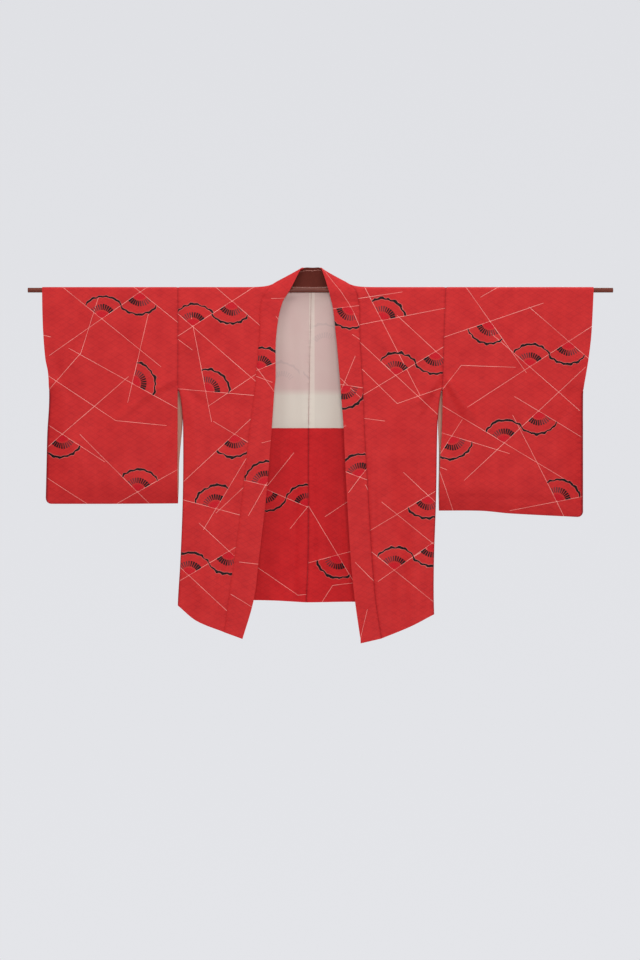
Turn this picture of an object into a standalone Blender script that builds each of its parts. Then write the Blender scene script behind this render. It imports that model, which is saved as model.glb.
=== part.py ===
"""A kimono jacket (haori) hanging open on a straight wooden rod.

The rod runs through both sleeves and carries the jacket by its shoulder fold. Frame: +X to the viewer's
right, the jacket's front looks along -Y, +Z up, origin on the rod's axis at mid length. Left and right are
the viewer's. Tables are in millimetres, everything else in metres. Each cut piece is a wall built round its
middle surface, and pieces that are sewn together share that surface's edge, 0.3 mm apart.
"""

import math
from typing import NamedTuple

import bmesh
import bpy
from mathutils import Vector

MM = 0.001
ROUNDING = 1e-6

# Rod
ROD_LENGTH = 1340 * MM
ROD_RADIUS = 5.4 * MM
ROD_SIDES = 24

# Cloth walls
CLOTH = 1.6 * MM
COLLAR_WALL = 3.0 * MM
LINING_WALL = 1.0 * MM
SEAM_GAP = 0.3 * MM

# Faces that meet at less than this angle are shaded as one
SMOOTH_ANGLE = math.radians(40)

# A seam's shared lean stays within this cosine of each wall's own normal
LEAST_LEAN = 0.5

# The shoulder fold goes over the rod in steps of 30 degrees, its flats 0.3 mm clear of the wood
FOLD_STEP = math.radians(30)
FOLD_RADIUS = (ROD_RADIUS + SEAM_GAP) / math.cos(FOLD_STEP / 2) + CLOTH / 2
FOLD_STEPS = 3

# Depth: front and back hang apart by the gusset's width, more towards the hem
FRONT_FLARE = 22 * MM
BACK_FLARE = 20 * MM
FLARE_DROP = 350 * MM
SLEEVE_FLARE_SHARE = 0.45
SLEEVE_FLARE_REACH = 200 * MM
COLLAR_SWING = 4 * MM
COLLAR_SWING_DROP = 300 * MM
NECK_STANDOFF = 4 * MM
NECK_STANDOFF_DROP = 70 * MM
NECK_STANDOFF_FADE = 30 * MM

# Large folds fade in and out over this share beyond each end, and stay flat this far below the rod
FOLD_FADE = 0.25
FOLD_FREE_DROP = 60 * MM

# Heights shared by the panels and the sleeves
ARMHOLE_FOOT = -225 * MM
GUSSET_TOP = -233 * MM
LINING_HEM = -315.5 * MM
ARMHOLE_LEVELS = [-22 * MM, -50 * MM, -90 * MM, -135 * MM, -180 * MM, ARMHOLE_FOOT]
FRONT_SHARES = [0.17, 0.27, 0.385, 0.51, 0.63, 0.755, 0.88, 1.0]
BACK_SHARES = [0.12, 0.26, 0.41, 0.56, 0.71, 0.86, 1.0]

# How far round the neck the collar leaves the front, and where it crosses the shoulder
FOLD_START_SHARE = 0.25
SHOULDER_SHARE = 0.5

# Columns across a panel, as shares from the sleeve seam to the collar seam, then on to the centre seam
PANEL_SHARES = [0, 0.12, 0.26, 0.4, 0.54, 0.67, 0.78, 0.87, 0.94, 1.0]
NECK_SHARES = [0.58, 0.66, 0.75, 0.84, 0.92, 1.0]
NECK_LIFT_POWER = 14
NECK_TURN_DEPTH = 3 * MM
ROD_BULGE = 5 * MM
BACK_SIDE_SHARE = 0.75
COLLAR_SHARES = [0, 0.1, 0.4, 0.7, 1.0]

# Side gusset
GUSSET_CREASE = 14 * MM
GUSSET_CREASE_AT_TOP = 0.2
GUSSET_CREASE_GROWTH = 1.6
GUSSET_CREASE_SHARPNESS = 1.2
GUSSET_SHARES = [0, 0.25, 0.5, 0.75, 1.0]

# Sleeve
SLEEVE_SHARES = [0, 0.08, 0.2, 0.34, 0.5, 0.66, 0.8, 0.9, 0.96, 0.985, 1.0]
SLEEVE_DROP_SHARES = [0.14, 0.3, 0.46, 0.62, 0.76, 0.87, 0.95]
SLEEVE_EDGE_RADIUS = 3.5 * MM
SLEEVE_CLOSING = 60 * MM
SLEEVE_EDGE_RAMP = 25 * MM
SLEEVE_CORNER_RADIUS = 13 * MM
SLIT_SHOWS = 0.55
SLIT_RAMP = 70 * MM
LINING_STRIP_COLUMNS = 3
LINING_STRIP_STOPS_UP = 3


class FrontRow(NamedTuple):
    """Where a front's side seam, collar seam and free collar edge run at one height, in mm."""

    level: float
    side: float
    seam: float
    edge: float


class NeckRow(NamedTuple):
    """A section of the collar round the neck, in mm, by its share of the way to centre back."""

    share: float
    seam: tuple
    edge: tuple


class SleeveRow(NamedTuple):
    """Where a sleeve's two upright edges run at one height, in mm."""

    level: float
    inner: float
    outer: float


class HemRow(NamedTuple):
    """Height of a lower edge, in mm, at a share of the way across the piece."""

    share: float
    level: float


class Fold(NamedTuple):
    """A soft ridge (or trough, with a negative height) from one point to another, in mm."""

    x0: float
    z0: float
    x1: float
    z1: float
    width: float
    height: float


class Half(NamedTuple):
    """All that differs between the two halves of the jacket."""

    name: str
    mirrored: bool
    front: list
    neck: list
    sleeve: list
    front_hem: list
    collar_hem: list
    back_hem: list
    sleeve_hem: list


CENTRE_NECK = NeckRow(1.0, (-20, 12, 7), (-17, 15, 52))

LEFT = Half(
    name="left",
    mirrored=False,
    front=[
        FrontRow(7, -326.3, -112, -60),
        FrontRow(-22, -326.3, -134, -82),
        FrontRow(-105, -326.1, -139.5, -98.5),
        FrontRow(-206, -326, -147.7, -103.5),
        FrontRow(-225, -326, -149.5, -105),
        FrontRow(-234, -322.4, -150.7, -105.5),
        FrontRow(-265, -317.5, -154.6, -107.5),
        FrontRow(-316, -313.5, -161.4, -111),
        FrontRow(-470, -314, -178, -123.5),
        FrontRow(-620, -319.5, -197, -141),
        FrontRow(-710, -325, -210, -152.5),
        FrontRow(-800, -326.5, -221, -178.5),
    ],
    neck=[
        NeckRow(0.0, (-134, -8, -22), (-82, -9, -24)),
        NeckRow(0.25, (-121, -8.8, 0), (-66, -9.5, 3)),
        NeckRow(0.5, (-98, 0, 19), (-49, 2, 46)),
        NeckRow(0.7, (-66, 9, 13), (-39, 11, 52)),
        CENTRE_NECK,
    ],
    sleeve=[
        SleeveRow(7, -326.3, -637),
        SleeveRow(-68, -326.2, -635.5),
        SleeveRow(-114, -326.1, -633),
        SleeveRow(-160, -326, -628.6),
        SleeveRow(-188, -326, -623),
        SleeveRow(-225, -326, -621),
        SleeveRow(-265, -326, -621.3),
        SleeveRow(-325, -326, -625),
        SleeveRow(-405, -326, -627),
        SleeveRow(-490, -326, -629),
    ],
    front_hem=[HemRow(0, -721), HemRow(0.38, -755), HemRow(1, -782)],
    collar_hem=[HemRow(0, -782), HemRow(1, -797)],
    back_hem=[HemRow(0, -719), HemRow(0.55, -711), HemRow(1, -716)],
    sleeve_hem=[HemRow(0, -488), HemRow(0.5, -489), HemRow(1, -489)],
)

RIGHT = Half(
    name="right",
    mirrored=True,
    front=[
        FrontRow(7, 286.9, 66, 8),
        FrontRow(-22, 285.8, 86.4, 27),
        FrontRow(-105, 282.3, 90, 35),
        FrontRow(-206, 279.8, 95.8, 42.5),
        FrontRow(-225, 279, 96.8, 44),
        FrontRow(-234, 275.4, 97.2, 45),
        FrontRow(-265, 271, 98.6, 48),
        FrontRow(-316, 267, 100, 52.7),
        FrontRow(-470, 264, 108.6, 60.3),
        FrontRow(-620, 259, 117.5, 69.5),
        FrontRow(-710, 258.5, 125.5, 78.7),
        FrontRow(-800, 262, 139.5, 91.5),
    ],
    neck=[
        NeckRow(0.0, (86.4, -8, -22), (27, -9, -24)),
        NeckRow(0.25, (79, -8.8, 0), (21, -9.5, 3)),
        NeckRow(0.5, (55, 0, 19), (8, 2, 45)),
        NeckRow(0.7, (25, 9, 13), (3.5, 11, 52)),
        CENTRE_NECK,
    ],
    sleeve=[
        SleeveRow(7, 286.9, 625.4),
        SleeveRow(-68, 283.8, 621.7),
        SleeveRow(-114, 282, 618.5),
        SleeveRow(-160, 281, 612.6),
        SleeveRow(-188, 280.2, 608),
        SleeveRow(-225, 279, 602),
        SleeveRow(-265, 278.6, 601),
        SleeveRow(-325, 277, 601),
        SleeveRow(-405, 272.5, 601),
        SleeveRow(-520, 271, 601),
    ],
    front_hem=[HemRow(0, -741), HemRow(0.42, -768), HemRow(1, -796)],
    collar_hem=[HemRow(0, -799), HemRow(1, -807)],
    back_hem=[HemRow(0, -736), HemRow(0.55, -716), HemRow(1, -716)],
    sleeve_hem=[HemRow(0, -504.5), HemRow(0.3, -505), HemRow(0.5, -511), HemRow(1, -519.5)],
)

CENTRE_SEAM = [HemRow(5, -21), HemRow(-300, -27), HemRow(-618, -28.5), HemRow(-720, -33)]

FRONT_FOLDS = [
    Fold(-345, -205, -535, -405, 34, 5),
    Fold(-336, -235, -420, -440, 26, -4),
    Fold(-600, -250, -560, -470, 40, 3),
    Fold(-232, -45, -308, -140, 26, 4),
    Fold(-280, -300, -250, -740, 45, 4),
    Fold(-205, -420, -225, -760, 30, -4),
    Fold(150, -300, 160, -780, 24, 5),
    Fold(215, -320, 225, -760, 34, -4),
    Fold(290, -205, 345, -290, 20, 5),
    Fold(300, -230, 330, -480, 28, -4),
    Fold(430, -120, 560, -470, 48, 4),
]

BACK_FOLDS = [
    Fold(-70, -150, -90, -700, 30, 4),
    Fold(30, -180, 45, -700, 28, 4),
    Fold(-200, -220, -230, -690, 46, 5),
    Fold(180, -240, 190, -700, 44, 5),
    Fold(-360, -210, -520, -420, 40, 4),
    Fold(330, -220, 520, -450, 44, 4),
]


def ease(value):
    """Smooth step from 0 to 1."""
    value = min(max(value, 0.0), 1.0)
    return value * value * (3 - 2 * value)


def read(rows, at, key, column):
    """A column of a table at any value of its key, on a smooth curve through the rows."""
    rows = sorted(rows, key=lambda row: getattr(row, key))
    keys = [getattr(row, key) for row in rows]
    values = [getattr(row, column) for row in rows]
    at = min(max(at, keys[0]), keys[-1])
    index = max(i for i in range(len(keys) - 1) if keys[i] <= at)
    slopes = []
    for i in (index, index + 1):
        low, high = max(i - 1, 0), min(i + 1, len(keys) - 1)
        slopes.append((values[high] - values[low]) / (keys[high] - keys[low]))
    span = keys[index + 1] - keys[index]
    t = (at - keys[index]) / span
    return (
        (2 * t**3 - 3 * t**2 + 1) * values[index]
        + (t**3 - 2 * t**2 + t) * span * slopes[0]
        + (3 * t**2 - 2 * t**3) * values[index + 1]
        + (t**3 - t**2) * span * slopes[1]
    )


def front_at(half, column, z):
    """X of one of the front's edges at a height."""
    return read(half.front, z / MM, "level", column) * MM


def sleeve_at(half, column, z):
    """X of one of the sleeve's edges at a height."""
    return read(half.sleeve, z / MM, "level", column) * MM


def hem_at(rows, share):
    """Height of a lower edge at a share of its width."""
    return read(rows, share, "share", "level") * MM


def neck_at(half, share, column):
    """Point of the collar's seam or free edge round the neck."""
    rows = sorted(half.neck)
    parts = []
    for axis in range(3):
        points = [HemRow(row.share, getattr(row, column)[axis]) for row in rows]
        parts.append(read(points, share, "share", "level") * MM)
    return Vector(parts)


def shoulder_seam_x(half):
    """X of the collar seam where it crosses the shoulder."""
    return next(row.seam[0] for row in half.neck if row.share == SHOULDER_SHARE) * MM


def folds_at(folds, x, z):
    """How far the cloth stands out at a point because of its large folds."""
    out = 0.0
    for fold in folds:
        start = Vector((fold.x0, fold.z0)) * MM
        run = Vector((fold.x1, fold.z1)) * MM - start
        along = (Vector((x, z)) - start).dot(run) / run.length_squared
        across = (Vector((x, z)) - start - run * along).length / (fold.width * MM)
        fade = ease((along + FOLD_FADE) / (2 * FOLD_FADE)) * ease((1 + FOLD_FADE - along) / (2 * FOLD_FADE))
        out += fold.height * MM * math.exp(-across * across) * fade
    return out * ease(-z / FOLD_FREE_DROP)


def flare(x, z, depth):
    """How far a layer hangs out from the plane of the rod's side, less on the sleeves."""
    left, right = LEFT.front[0].side * MM, RIGHT.front[0].side * MM
    beyond = max(left - x, x - right, 0.0) / SLEEVE_FLARE_REACH
    share = 1 - (1 - SLEEVE_FLARE_SHARE) * ease(beyond)
    return depth * share * (1 - math.exp(min(z, 0.0) / FLARE_DROP))


def front_y(x, z):
    """Middle surface of everything that faces the viewer."""
    return -FOLD_RADIUS - flare(x, z, FRONT_FLARE) - folds_at(FRONT_FOLDS, x, z)


def back_y(x, z):
    """Middle surface of the back, which stands clear of the rod below the collar."""
    left, right = shoulder_seam_x(LEFT), shoulder_seam_x(RIGHT)
    fade = NECK_STANDOFF_FADE
    inside = ease((x - left) / fade + 0.5) * ease((right - x) / fade + 0.5)
    standoff = NECK_STANDOFF * inside * math.exp(min(z, 0.0) / NECK_STANDOFF_DROP)
    return FOLD_RADIUS + flare(x, z, BACK_FLARE) + standoff + folds_at(BACK_FOLDS, x, z)


class Cloth:
    """The middle surface of one piece: points by key, faces as rings of keys, and the wall's thickness."""

    def __init__(self, name, thickness, mirrored=False):
        self.name = name
        self.thickness = thickness
        self.mirrored = mirrored
        self.points = {}
        self.faces = []
        self.leans = {}

    def face(self, *keys):
        self.faces.append(keys[::-1] if self.mirrored else keys)

    def grid(self):
        """Adds a face wherever four neighbouring (row, column) points exist, looking out of the cloth."""
        for row, column in list(self.points):
            ring = [(row, column), (row, column + 1), (row + 1, column + 1), (row + 1, column)]
            if all(key in self.points for key in ring):
                self.face(*ring)

    def normals(self):
        """Unit normal at every point, and the lean that a seam gives the wall's edge."""
        sums = {key: Vector() for key in self.points}
        for ring in self.faces:
            corners = [self.points[key] for key in ring]
            spokes = [corner - corners[0] for corner in corners[1:]]
            normal = sum((a.cross(b) for a, b in zip(spokes, spokes[1:])), Vector())
            for key in ring:
                sums[key] += normal
        for key in sums:
            sums[key].normalize()
        return sums

    def inward(self, key):
        """Direction from a point on the edge into the piece."""
        near = [self.points[other] for ring in self.faces if key in ring for other in ring]
        return sum(near, Vector()) / len(near) - self.points[key]

    def solid(self, material):
        """Builds the wall: the middle surface moved out and in by half the thickness, closed along its rim.

        Every face is split along the same diagonal on both sides, so that its layers stay apart.
        """
        normals = {**self.normals(), **self.leans}
        mesh = bmesh.new()
        shift = {key: normals[key] * self.thickness / 2 for key in self.points}
        outer = {key: mesh.verts.new(self.points[key] + shift[key]) for key in self.points}
        inner = {key: mesh.verts.new(self.points[key] - shift[key]) for key in self.points}
        edges = {(ring[i - 1], ring[i]) for ring in self.faces for i in range(len(ring))}
        for ring in self.faces:
            for corner in range(1, len(ring) - 1):
                triangle = (ring[0], ring[corner], ring[corner + 1])
                mesh.faces.new([outer[key] for key in triangle])
                mesh.faces.new([inner[key] for key in reversed(triangle)])
        for a, b in sorted(edges, key=str):
            if (b, a) in edges:
                continue
            rim = [outer[b], outer[a], inner[a], inner[b]]
            if (rim[0].co - rim[2].co).length > (rim[1].co - rim[3].co).length:
                rim = rim[1:] + rim[:1]
            mesh.faces.new(rim[:3])
            mesh.faces.new([rim[0], rim[2], rim[3]])
        return add_object(self.name, mesh, material)


def sew(first, second, pairs):
    """Parts two pieces by the seam gap along a shared line, with one common lean for both rims."""
    first_normals, second_normals = first.normals(), second.normals()
    spots = [first.points[a].copy() for a, _ in pairs]
    moves = []
    for i, (a, b) in enumerate(pairs):
        lean = (first_normals[a] + second_normals[b]).normalized()
        lean /= max(lean.dot(first_normals[a]), LEAST_LEAN)
        tangent = spots[min(i + 1, len(spots) - 1)] - spots[max(i - 1, 0)]
        across = lean.cross(tangent).normalized()
        if across.dot(second.inward(b) - first.inward(a)) < 0:
            across.negate()
        moves.append((a, b, lean, across * SEAM_GAP / 2))
    for a, b, lean, move in moves:
        first.points[a] = first.points[a] - move
        second.points[b] = second.points[b] + move
        first.leans[a] = lean
        second.leans[b] = lean


def layer(name, source, keys, thickness, clearance=SEAM_GAP):
    """A thinner piece on the inside of another, made from its points moved in."""
    normals = {**source.normals(), **source.leans}
    drop = source.thickness / 2 + clearance + thickness / 2
    piece = Cloth(name, thickness, source.mirrored)
    for key in keys:
        piece.points[key] = source.points[key] - normals[key] * drop
        piece.leans[key] = normals[key]
    return piece


def add_object(name, mesh, material):
    """Turns a bmesh into a named object with its material."""
    data = bpy.data.meshes.new(name)
    mesh.to_mesh(data)
    mesh.free()
    data.materials.append(material)
    data.shade_smooth()
    data.set_sharp_from_angle(angle=SMOOTH_ANGLE)
    obj = bpy.data.objects.new(name, data)
    bpy.context.scene.collection.objects.link(obj)
    return obj


def add_material(name, colour, roughness):
    """A plain Principled material."""
    material = bpy.data.materials.new(name)
    material.use_nodes = True
    shader = material.node_tree.nodes["Principled BSDF"]
    shader.inputs["Base Color"].default_value = (*colour, 1)
    shader.inputs["Roughness"].default_value = roughness
    shader.inputs["Metallic"].default_value = 0.0
    return material


def panel_rows():
    """Rows of a body panel from front hem over the shoulder to back hem, as (part, value) pairs."""
    rows = [("front share", share) for share in reversed(FRONT_SHARES)]
    rows += [("front level", GUSSET_TOP)]
    rows += [("front level", level) for level in reversed(ARMHOLE_LEVELS)]
    rows += [("arc", step) for step in range(2 * FOLD_STEPS + 1)]
    rows += [("back level", level) for level in ARMHOLE_LEVELS]
    rows += [("back level", GUSSET_TOP), ("back level", LINING_HEM)]
    rows += [("back share", share) for share in BACK_SHARES]
    return rows


ROWS = panel_rows()
TOP_ROW = ROWS.index(("arc", FOLD_STEPS))
LINING_ROW = ROWS.index(("back level", LINING_HEM))
NECK_ROW = ROWS.index(("front level", ARMHOLE_LEVELS[0]))
BACK_NECK_ROW = ROWS.index(("back level", ARMHOLE_LEVELS[0]))
COLLAR_COLUMN = len(PANEL_SHARES) - 1
CENTRE_COLUMN = COLLAR_COLUMN + len(NECK_SHARES)


def neck_share_of(row):
    """How far round the neck a front or shoulder row meets the collar, from 0 in front."""
    kind, value = ROWS[row]
    if kind == "arc":
        return FOLD_START_SHARE + (SHOULDER_SHARE - FOLD_START_SHARE) * value / FOLD_STEPS
    return 0.0


def front_point(half, row, share):
    """Point of a front below the fold, at a share from the side to the collar seam."""
    kind, value = ROWS[row]
    z = value
    if kind == "front share":
        z = GUSSET_TOP + value * (hem_at(half.front_hem, share) - GUSSET_TOP)
    side, seam = front_at(half, "side", z), front_at(half, "seam", z)
    x = side + (seam - side) * share
    swing = COLLAR_SWING * share**2 * ease(-z / COLLAR_SWING_DROP)
    return Vector((x, front_y(x, z) - swing, z))


def arc_point(x, step):
    """Point of the shoulder fold over the rod, from front to back."""
    angle = math.pi - step * FOLD_STEP
    return Vector((x, FOLD_RADIUS * math.cos(angle), FOLD_RADIUS * math.sin(angle)))


def centre_at(z):
    """X of the centre back seam."""
    return read(CENTRE_SEAM, z / MM, "share", "level") * MM


def back_point(half, row, share, to_centre):
    """Point of the back: share runs from the side to the neck's width, to_centre on from there."""
    kind, value = ROWS[row]
    across = BACK_SIDE_SHARE * share + (1 - BACK_SIDE_SHARE) * to_centre
    z = value
    if kind == "back share":
        z = LINING_HEM + value * (hem_at(half.back_hem, across) - LINING_HEM)
    side = front_at(half, "side", z)
    neck = shoulder_seam_x(half)
    x = side + (neck - side) * share + (centre_at(z) - neck) * to_centre
    return Vector((x, back_y(x, z), z))


def make_panel(half):
    """One body panel: a single length of cloth, front and back, cut in at the neck."""
    panel = Cloth("body_panel_" + half.name, CLOTH, half.mirrored)
    top = neck_at(half, SHOULDER_SHARE, "seam")
    lift = top - arc_point(top.x, FOLD_STEPS)
    for row, (kind, value) in enumerate(ROWS):
        for column, share in enumerate(PANEL_SHARES):
            near_neck = share**NECK_LIFT_POWER
            if kind.startswith("front"):
                point = front_point(half, row, share)
            elif kind.startswith("back"):
                point = back_point(half, row, share, 0.0)
            elif value <= FOLD_STEPS:
                seam = neck_at(half, neck_share_of(row), "seam")
                side = front_at(half, "side", 0.0)
                point = arc_point(side + (seam.x - side) * share, value)
                point += (seam - arc_point(seam.x, value)) * near_neck
            else:
                side = front_at(half, "side", 0.0)
                fade = 1 - (value - FOLD_STEPS) / (FOLD_STEPS + 1)
                point = arc_point(side + (top.x - side) * share, value)
                point += (lift * fade + Vector((0, NECK_TURN_DEPTH * (1 - fade), 0))) * near_neck
            panel.points[row, column] = point
        if row >= TOP_ROW:
            add_neck_columns(panel, half, row)
    panel.grid()
    return panel


def add_neck_columns(panel, half, row):
    """The part of the back between the collar's width and the centre seam."""
    low_row = BACK_NECK_ROW
    for index, share in enumerate(NECK_SHARES):
        column = COLLAR_COLUMN + 1 + index
        to_centre = (index + 1) / len(NECK_SHARES)
        if row >= low_row:
            panel.points[row, column] = back_point(half, row, 1.0, to_centre)
            continue
        seam = neck_at(half, share, "seam")
        low = back_point(half, low_row, 1.0, to_centre)
        down = (row - TOP_ROW) / (low_row - TOP_ROW)
        round_rod = ROD_BULGE * (1 - to_centre) * 4 * down * (1 - down)
        panel.points[row, column] = seam.lerp(low, down) + Vector((0, round_rod, 0))


def collar_stations(half):
    """(panel key, seam point, free edge point) from the front hem to centre back."""
    stations = []
    for row in range(TOP_ROW + 1):
        kind, value = ROWS[row]
        if kind.startswith("front") and row != NECK_ROW:
            seam = front_point(half, row, 1.0)
            z = seam.z
            if kind == "front share":
                drop = hem_at(half.collar_hem, 1.0) - GUSSET_TOP
                z = GUSSET_TOP + value * drop
            x = front_at(half, "edge", z)
            edge = Vector((x, front_y(x, z) - COLLAR_SWING * ease(-z / COLLAR_SWING_DROP), z))
        else:
            share = neck_share_of(row)
            seam = neck_at(half, share, "seam") if kind == "arc" else front_point(half, row, 1.0)
            edge = neck_at(half, share, "edge")
        stations.append(((row, COLLAR_COLUMN), seam, edge))
    for index, share in enumerate(NECK_SHARES):
        key = (TOP_ROW, COLLAR_COLUMN + 1 + index)
        stations.append((key, neck_at(half, share, "seam"), neck_at(half, share, "edge")))
    return stations


def make_collar():
    """The collar: one long band folded double, from the left hem round the neck to the right hem."""
    collar = Cloth("collar_band", COLLAR_WALL)
    left, right = collar_stations(LEFT), collar_stations(RIGHT)
    whole = left + right[-2::-1]
    for station, (_, seam, edge) in enumerate(whole):
        for column, share in enumerate(COLLAR_SHARES):
            collar.points[station, column] = seam.lerp(edge, share)
    collar.grid()
    seams = {
        "left": [(key, (i, 0)) for i, (key, _, _) in enumerate(left)],
        "right": [(key, (len(whole) - 1 - i, 0)) for i, (key, _, _) in enumerate(right)],
    }
    return collar, seams, len(left) - 1


def make_gusset(half, panel):
    """The side gusset: a long wedge between front and back, folded inwards along its middle."""
    gusset = Cloth("side_gusset_" + half.name, CLOTH, half.mirrored)
    sign = -1 if half.mirrored else 1
    front_top = ROWS.index(("front level", GUSSET_TOP))
    back_top = ROWS.index(("back level", GUSSET_TOP))
    last = len(GUSSET_SHARES) - 1
    front_pairs, back_pairs = [], []
    for line in range(front_top + 1):
        front, back = panel.points[front_top - line, 0], panel.points[back_top + line, 0]
        for column, across in enumerate(GUSSET_SHARES):
            depth = GUSSET_CREASE * ease(GUSSET_CREASE_GROWTH * line / front_top + GUSSET_CREASE_AT_TOP)
            crease = depth * (1 - abs(2 * across - 1)) ** GUSSET_CREASE_SHARPNESS
            gusset.points[line, column] = front.lerp(back, across) + Vector((sign * crease, 0, 0))
        front_pairs.append(((front_top - line, 0), (line, 0)))
        back_pairs.append(((back_top + line, 0), (line, last)))
    gusset.grid()
    return gusset, front_pairs, back_pairs


def sleeve_ring():
    """Stops round a sleeve from the shoulder fold down the front, under, and up the back."""
    down = [("level", level) for level in ARMHOLE_LEVELS]
    down += [("share", share) for share in SLEEVE_DROP_SHARES] + [("foot", 1.0)]
    arcs = [("arc", FOLD_STEPS - step) for step in range(FOLD_STEPS + 1)]
    ring = [(*stop, "front") for stop in arcs + down]
    ring += [("bottom", 1.0, "front")]
    ring += [(*stop, "back") for stop in reversed(down)]
    ring += [("arc", 2 * FOLD_STEPS - step, "back") for step in range(FOLD_STEPS)]
    return ring


def sleeve_bottom(half, share):
    """Height of a sleeve's lower edge, rounded off at the outer corner."""
    width = abs(half.sleeve[-1].outer - half.sleeve[-1].inner) * MM
    from_edge = (1 - share) * width
    into = max(1 - from_edge / SLEEVE_CORNER_RADIUS, 0.0)
    return hem_at(half.sleeve_hem, share) + SLEEVE_CORNER_RADIUS * (1 - math.sqrt(1 - into * into))


def sleeve_point(half, stop, share):
    """Point of a sleeve at one stop of its ring, at a share from the inner to the outer edge."""
    kind, value, side = stop
    bottom = sleeve_bottom(half, share)
    floor = bottom + SLEEVE_EDGE_RADIUS
    z = {"level": value, "foot": floor, "bottom": bottom, "arc": 0.0}.get(kind)
    if kind == "share":
        z = ARMHOLE_FOOT + value * (floor - ARMHOLE_FOOT)
    inner, outer = sleeve_at(half, "inner", z), sleeve_at(half, "outer", z)
    sign = 1 if half.mirrored else -1
    below_cuff = z < ARMHOLE_FOOT - ROUNDING
    if below_cuff:
        outer -= sign * SLEEVE_EDGE_RADIUS
        if side == "back":
            below_foot = ease((ARMHOLE_FOOT - z) / SLIT_RAMP)
            inner += (front_at(half, "side", z) - inner) * SLIT_SHOWS * below_foot
    x = inner + (outer - inner) * share
    if kind == "arc":
        return arc_point(x, value)
    if kind == "bottom":
        return Vector((x, 0, z))
    full = front_y(x, z) if side == "front" else back_y(x, z)
    open_at_hem = 1 - (1 - min((z - floor) / SLEEVE_CLOSING, 1.0)) ** 2
    edge_distance = abs(outer - x) / SLEEVE_CLOSING
    below = ease((ARMHOLE_FOOT - z) / SLEEVE_EDGE_RAMP)
    open_at_edge = 1 - below * (1 - min(edge_distance, 1.0)) ** 2
    closed = math.copysign(SLEEVE_EDGE_RADIUS, full)
    return Vector((x, closed + (full - closed) * min(open_at_hem, 1.0) * open_at_edge, z))


def make_sleeve(half):
    """A sleeve: one length over the rod, sewn along its foot and up its outer edge to the cuff."""
    sleeve = Cloth("sleeve_" + half.name, CLOTH, half.mirrored)
    ring = sleeve_ring()
    last = len(SLEEVE_SHARES) - 1
    for column, share in enumerate(SLEEVE_SHARES):
        for stop_index, stop in enumerate(ring):
            sleeve.points[stop_index, column] = sleeve_point(half, stop, share)
    for column in range(last):
        for stop in range(len(ring)):
            after = (stop + 1) % len(ring)
            sleeve.face((stop, column), (stop, column + 1), (after, column + 1), (after, column))
    bottom = next(i for i, stop in enumerate(ring) if stop[0] == "bottom")
    foot = next(i for i, stop in enumerate(ring) if stop[1] == ARMHOLE_FOOT) + 1
    middles = []
    for stop in range(foot, bottom):
        front = sleeve.points[stop, last]
        outer = sleeve_at(half, "outer", front.z)
        key = ("edge", stop)
        sleeve.points[key] = Vector((outer, 0, front.z))
        middles.append((stop, 2 * bottom - stop, key))
    for (front_a, back_a, middle_a), (front_b, back_b, middle_b) in zip(middles, middles[1:]):
        sleeve.face((front_a, last), middle_a, middle_b, (front_b, last))
        sleeve.face(middle_a, (back_a, last), (back_b, last), middle_b)
    front, back, middle = middles[-1]
    sleeve.face((front, last), middle, (bottom, last))
    sleeve.face(middle, (back, last), (bottom, last))
    return sleeve, ring, bottom


def armhole_pairs(ring):
    """(panel key, sleeve key) along the armhole, from its front foot over the shoulder to its back foot."""
    pairs = []
    for index, (kind, value, side) in enumerate(ring):
        if kind == "arc":
            row = ROWS.index(("arc", value))
        elif kind == "level":
            row = ROWS.index((side + " level", value))
        else:
            continue
        pairs.append(((row, 0), (index, 0)))
    return sorted(pairs)


def make_sleeve_lining(half, sleeve, ring, bottom):
    """The strip of lining that shows along the open slit, on the inside of the sleeve's back."""
    top = next(i for i, stop in enumerate(ring) if stop[1] == ARMHOLE_FOOT and stop[2] == "back")
    stops = range(bottom + LINING_STRIP_STOPS_UP, top)
    keys = [(stop, column) for stop in stops for column in range(LINING_STRIP_COLUMNS)]
    lining = layer("sleeve_lining_" + half.name, sleeve, keys, LINING_WALL)
    lining.faces = [face for face in sleeve.faces if all(key in lining.points for key in face)]
    return lining


def make_back_layers(half, panel):
    """The lining of the upper back, and the jacket's own cloth turned up inside the lower back."""
    columns = range(1, CENTRE_COLUMN + 1)
    upper = [
        key
        for key in panel.points
        if key[1] in columns
        and (TOP_ROW if key[1] > COLLAR_COLUMN else BACK_NECK_ROW) <= key[0] <= LINING_ROW
    ]
    lower = [key for key in panel.points if key[1] in columns and key[0] >= LINING_ROW]
    lining = layer("back_lining_" + half.name, panel, upper, LINING_WALL)
    facing = layer("back_facing_" + half.name, panel, lower, LINING_WALL)
    for piece in (lining, facing):
        piece.faces = [face for face in panel.faces if all(key in piece.points for key in face)]
    sew(lining, facing, [((LINING_ROW, column), (LINING_ROW, column)) for column in columns])
    return lining, facing


def make_collar_facing(collar, centre):
    """The dark cloth inside the collar's stand behind the neck."""
    reach = len(NECK_SHARES) + 1
    stations = range(centre - reach, centre + reach + 1)
    keys = [(station, column) for station in stations for column in range(1, len(COLLAR_SHARES))]
    facing = layer("collar_stand_facing", collar, keys, LINING_WALL)
    facing.faces = [face for face in collar.faces if all(key in facing.points for key in face)]
    return facing


def make_rod(material):
    """The plain wooden rod, with flat ends."""
    bpy.ops.mesh.primitive_cylinder_add(vertices=ROD_SIDES, radius=ROD_RADIUS, depth=ROD_LENGTH)
    rod = bpy.context.object
    rod.name = "hanging_rod"
    rod.rotation_euler = (0, math.pi / 2, 0)
    rod.data.materials.append(material)
    rod.data.shade_smooth()
    rod.data.set_sharp_from_angle(angle=SMOOTH_ANGLE)
    return rod


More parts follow.
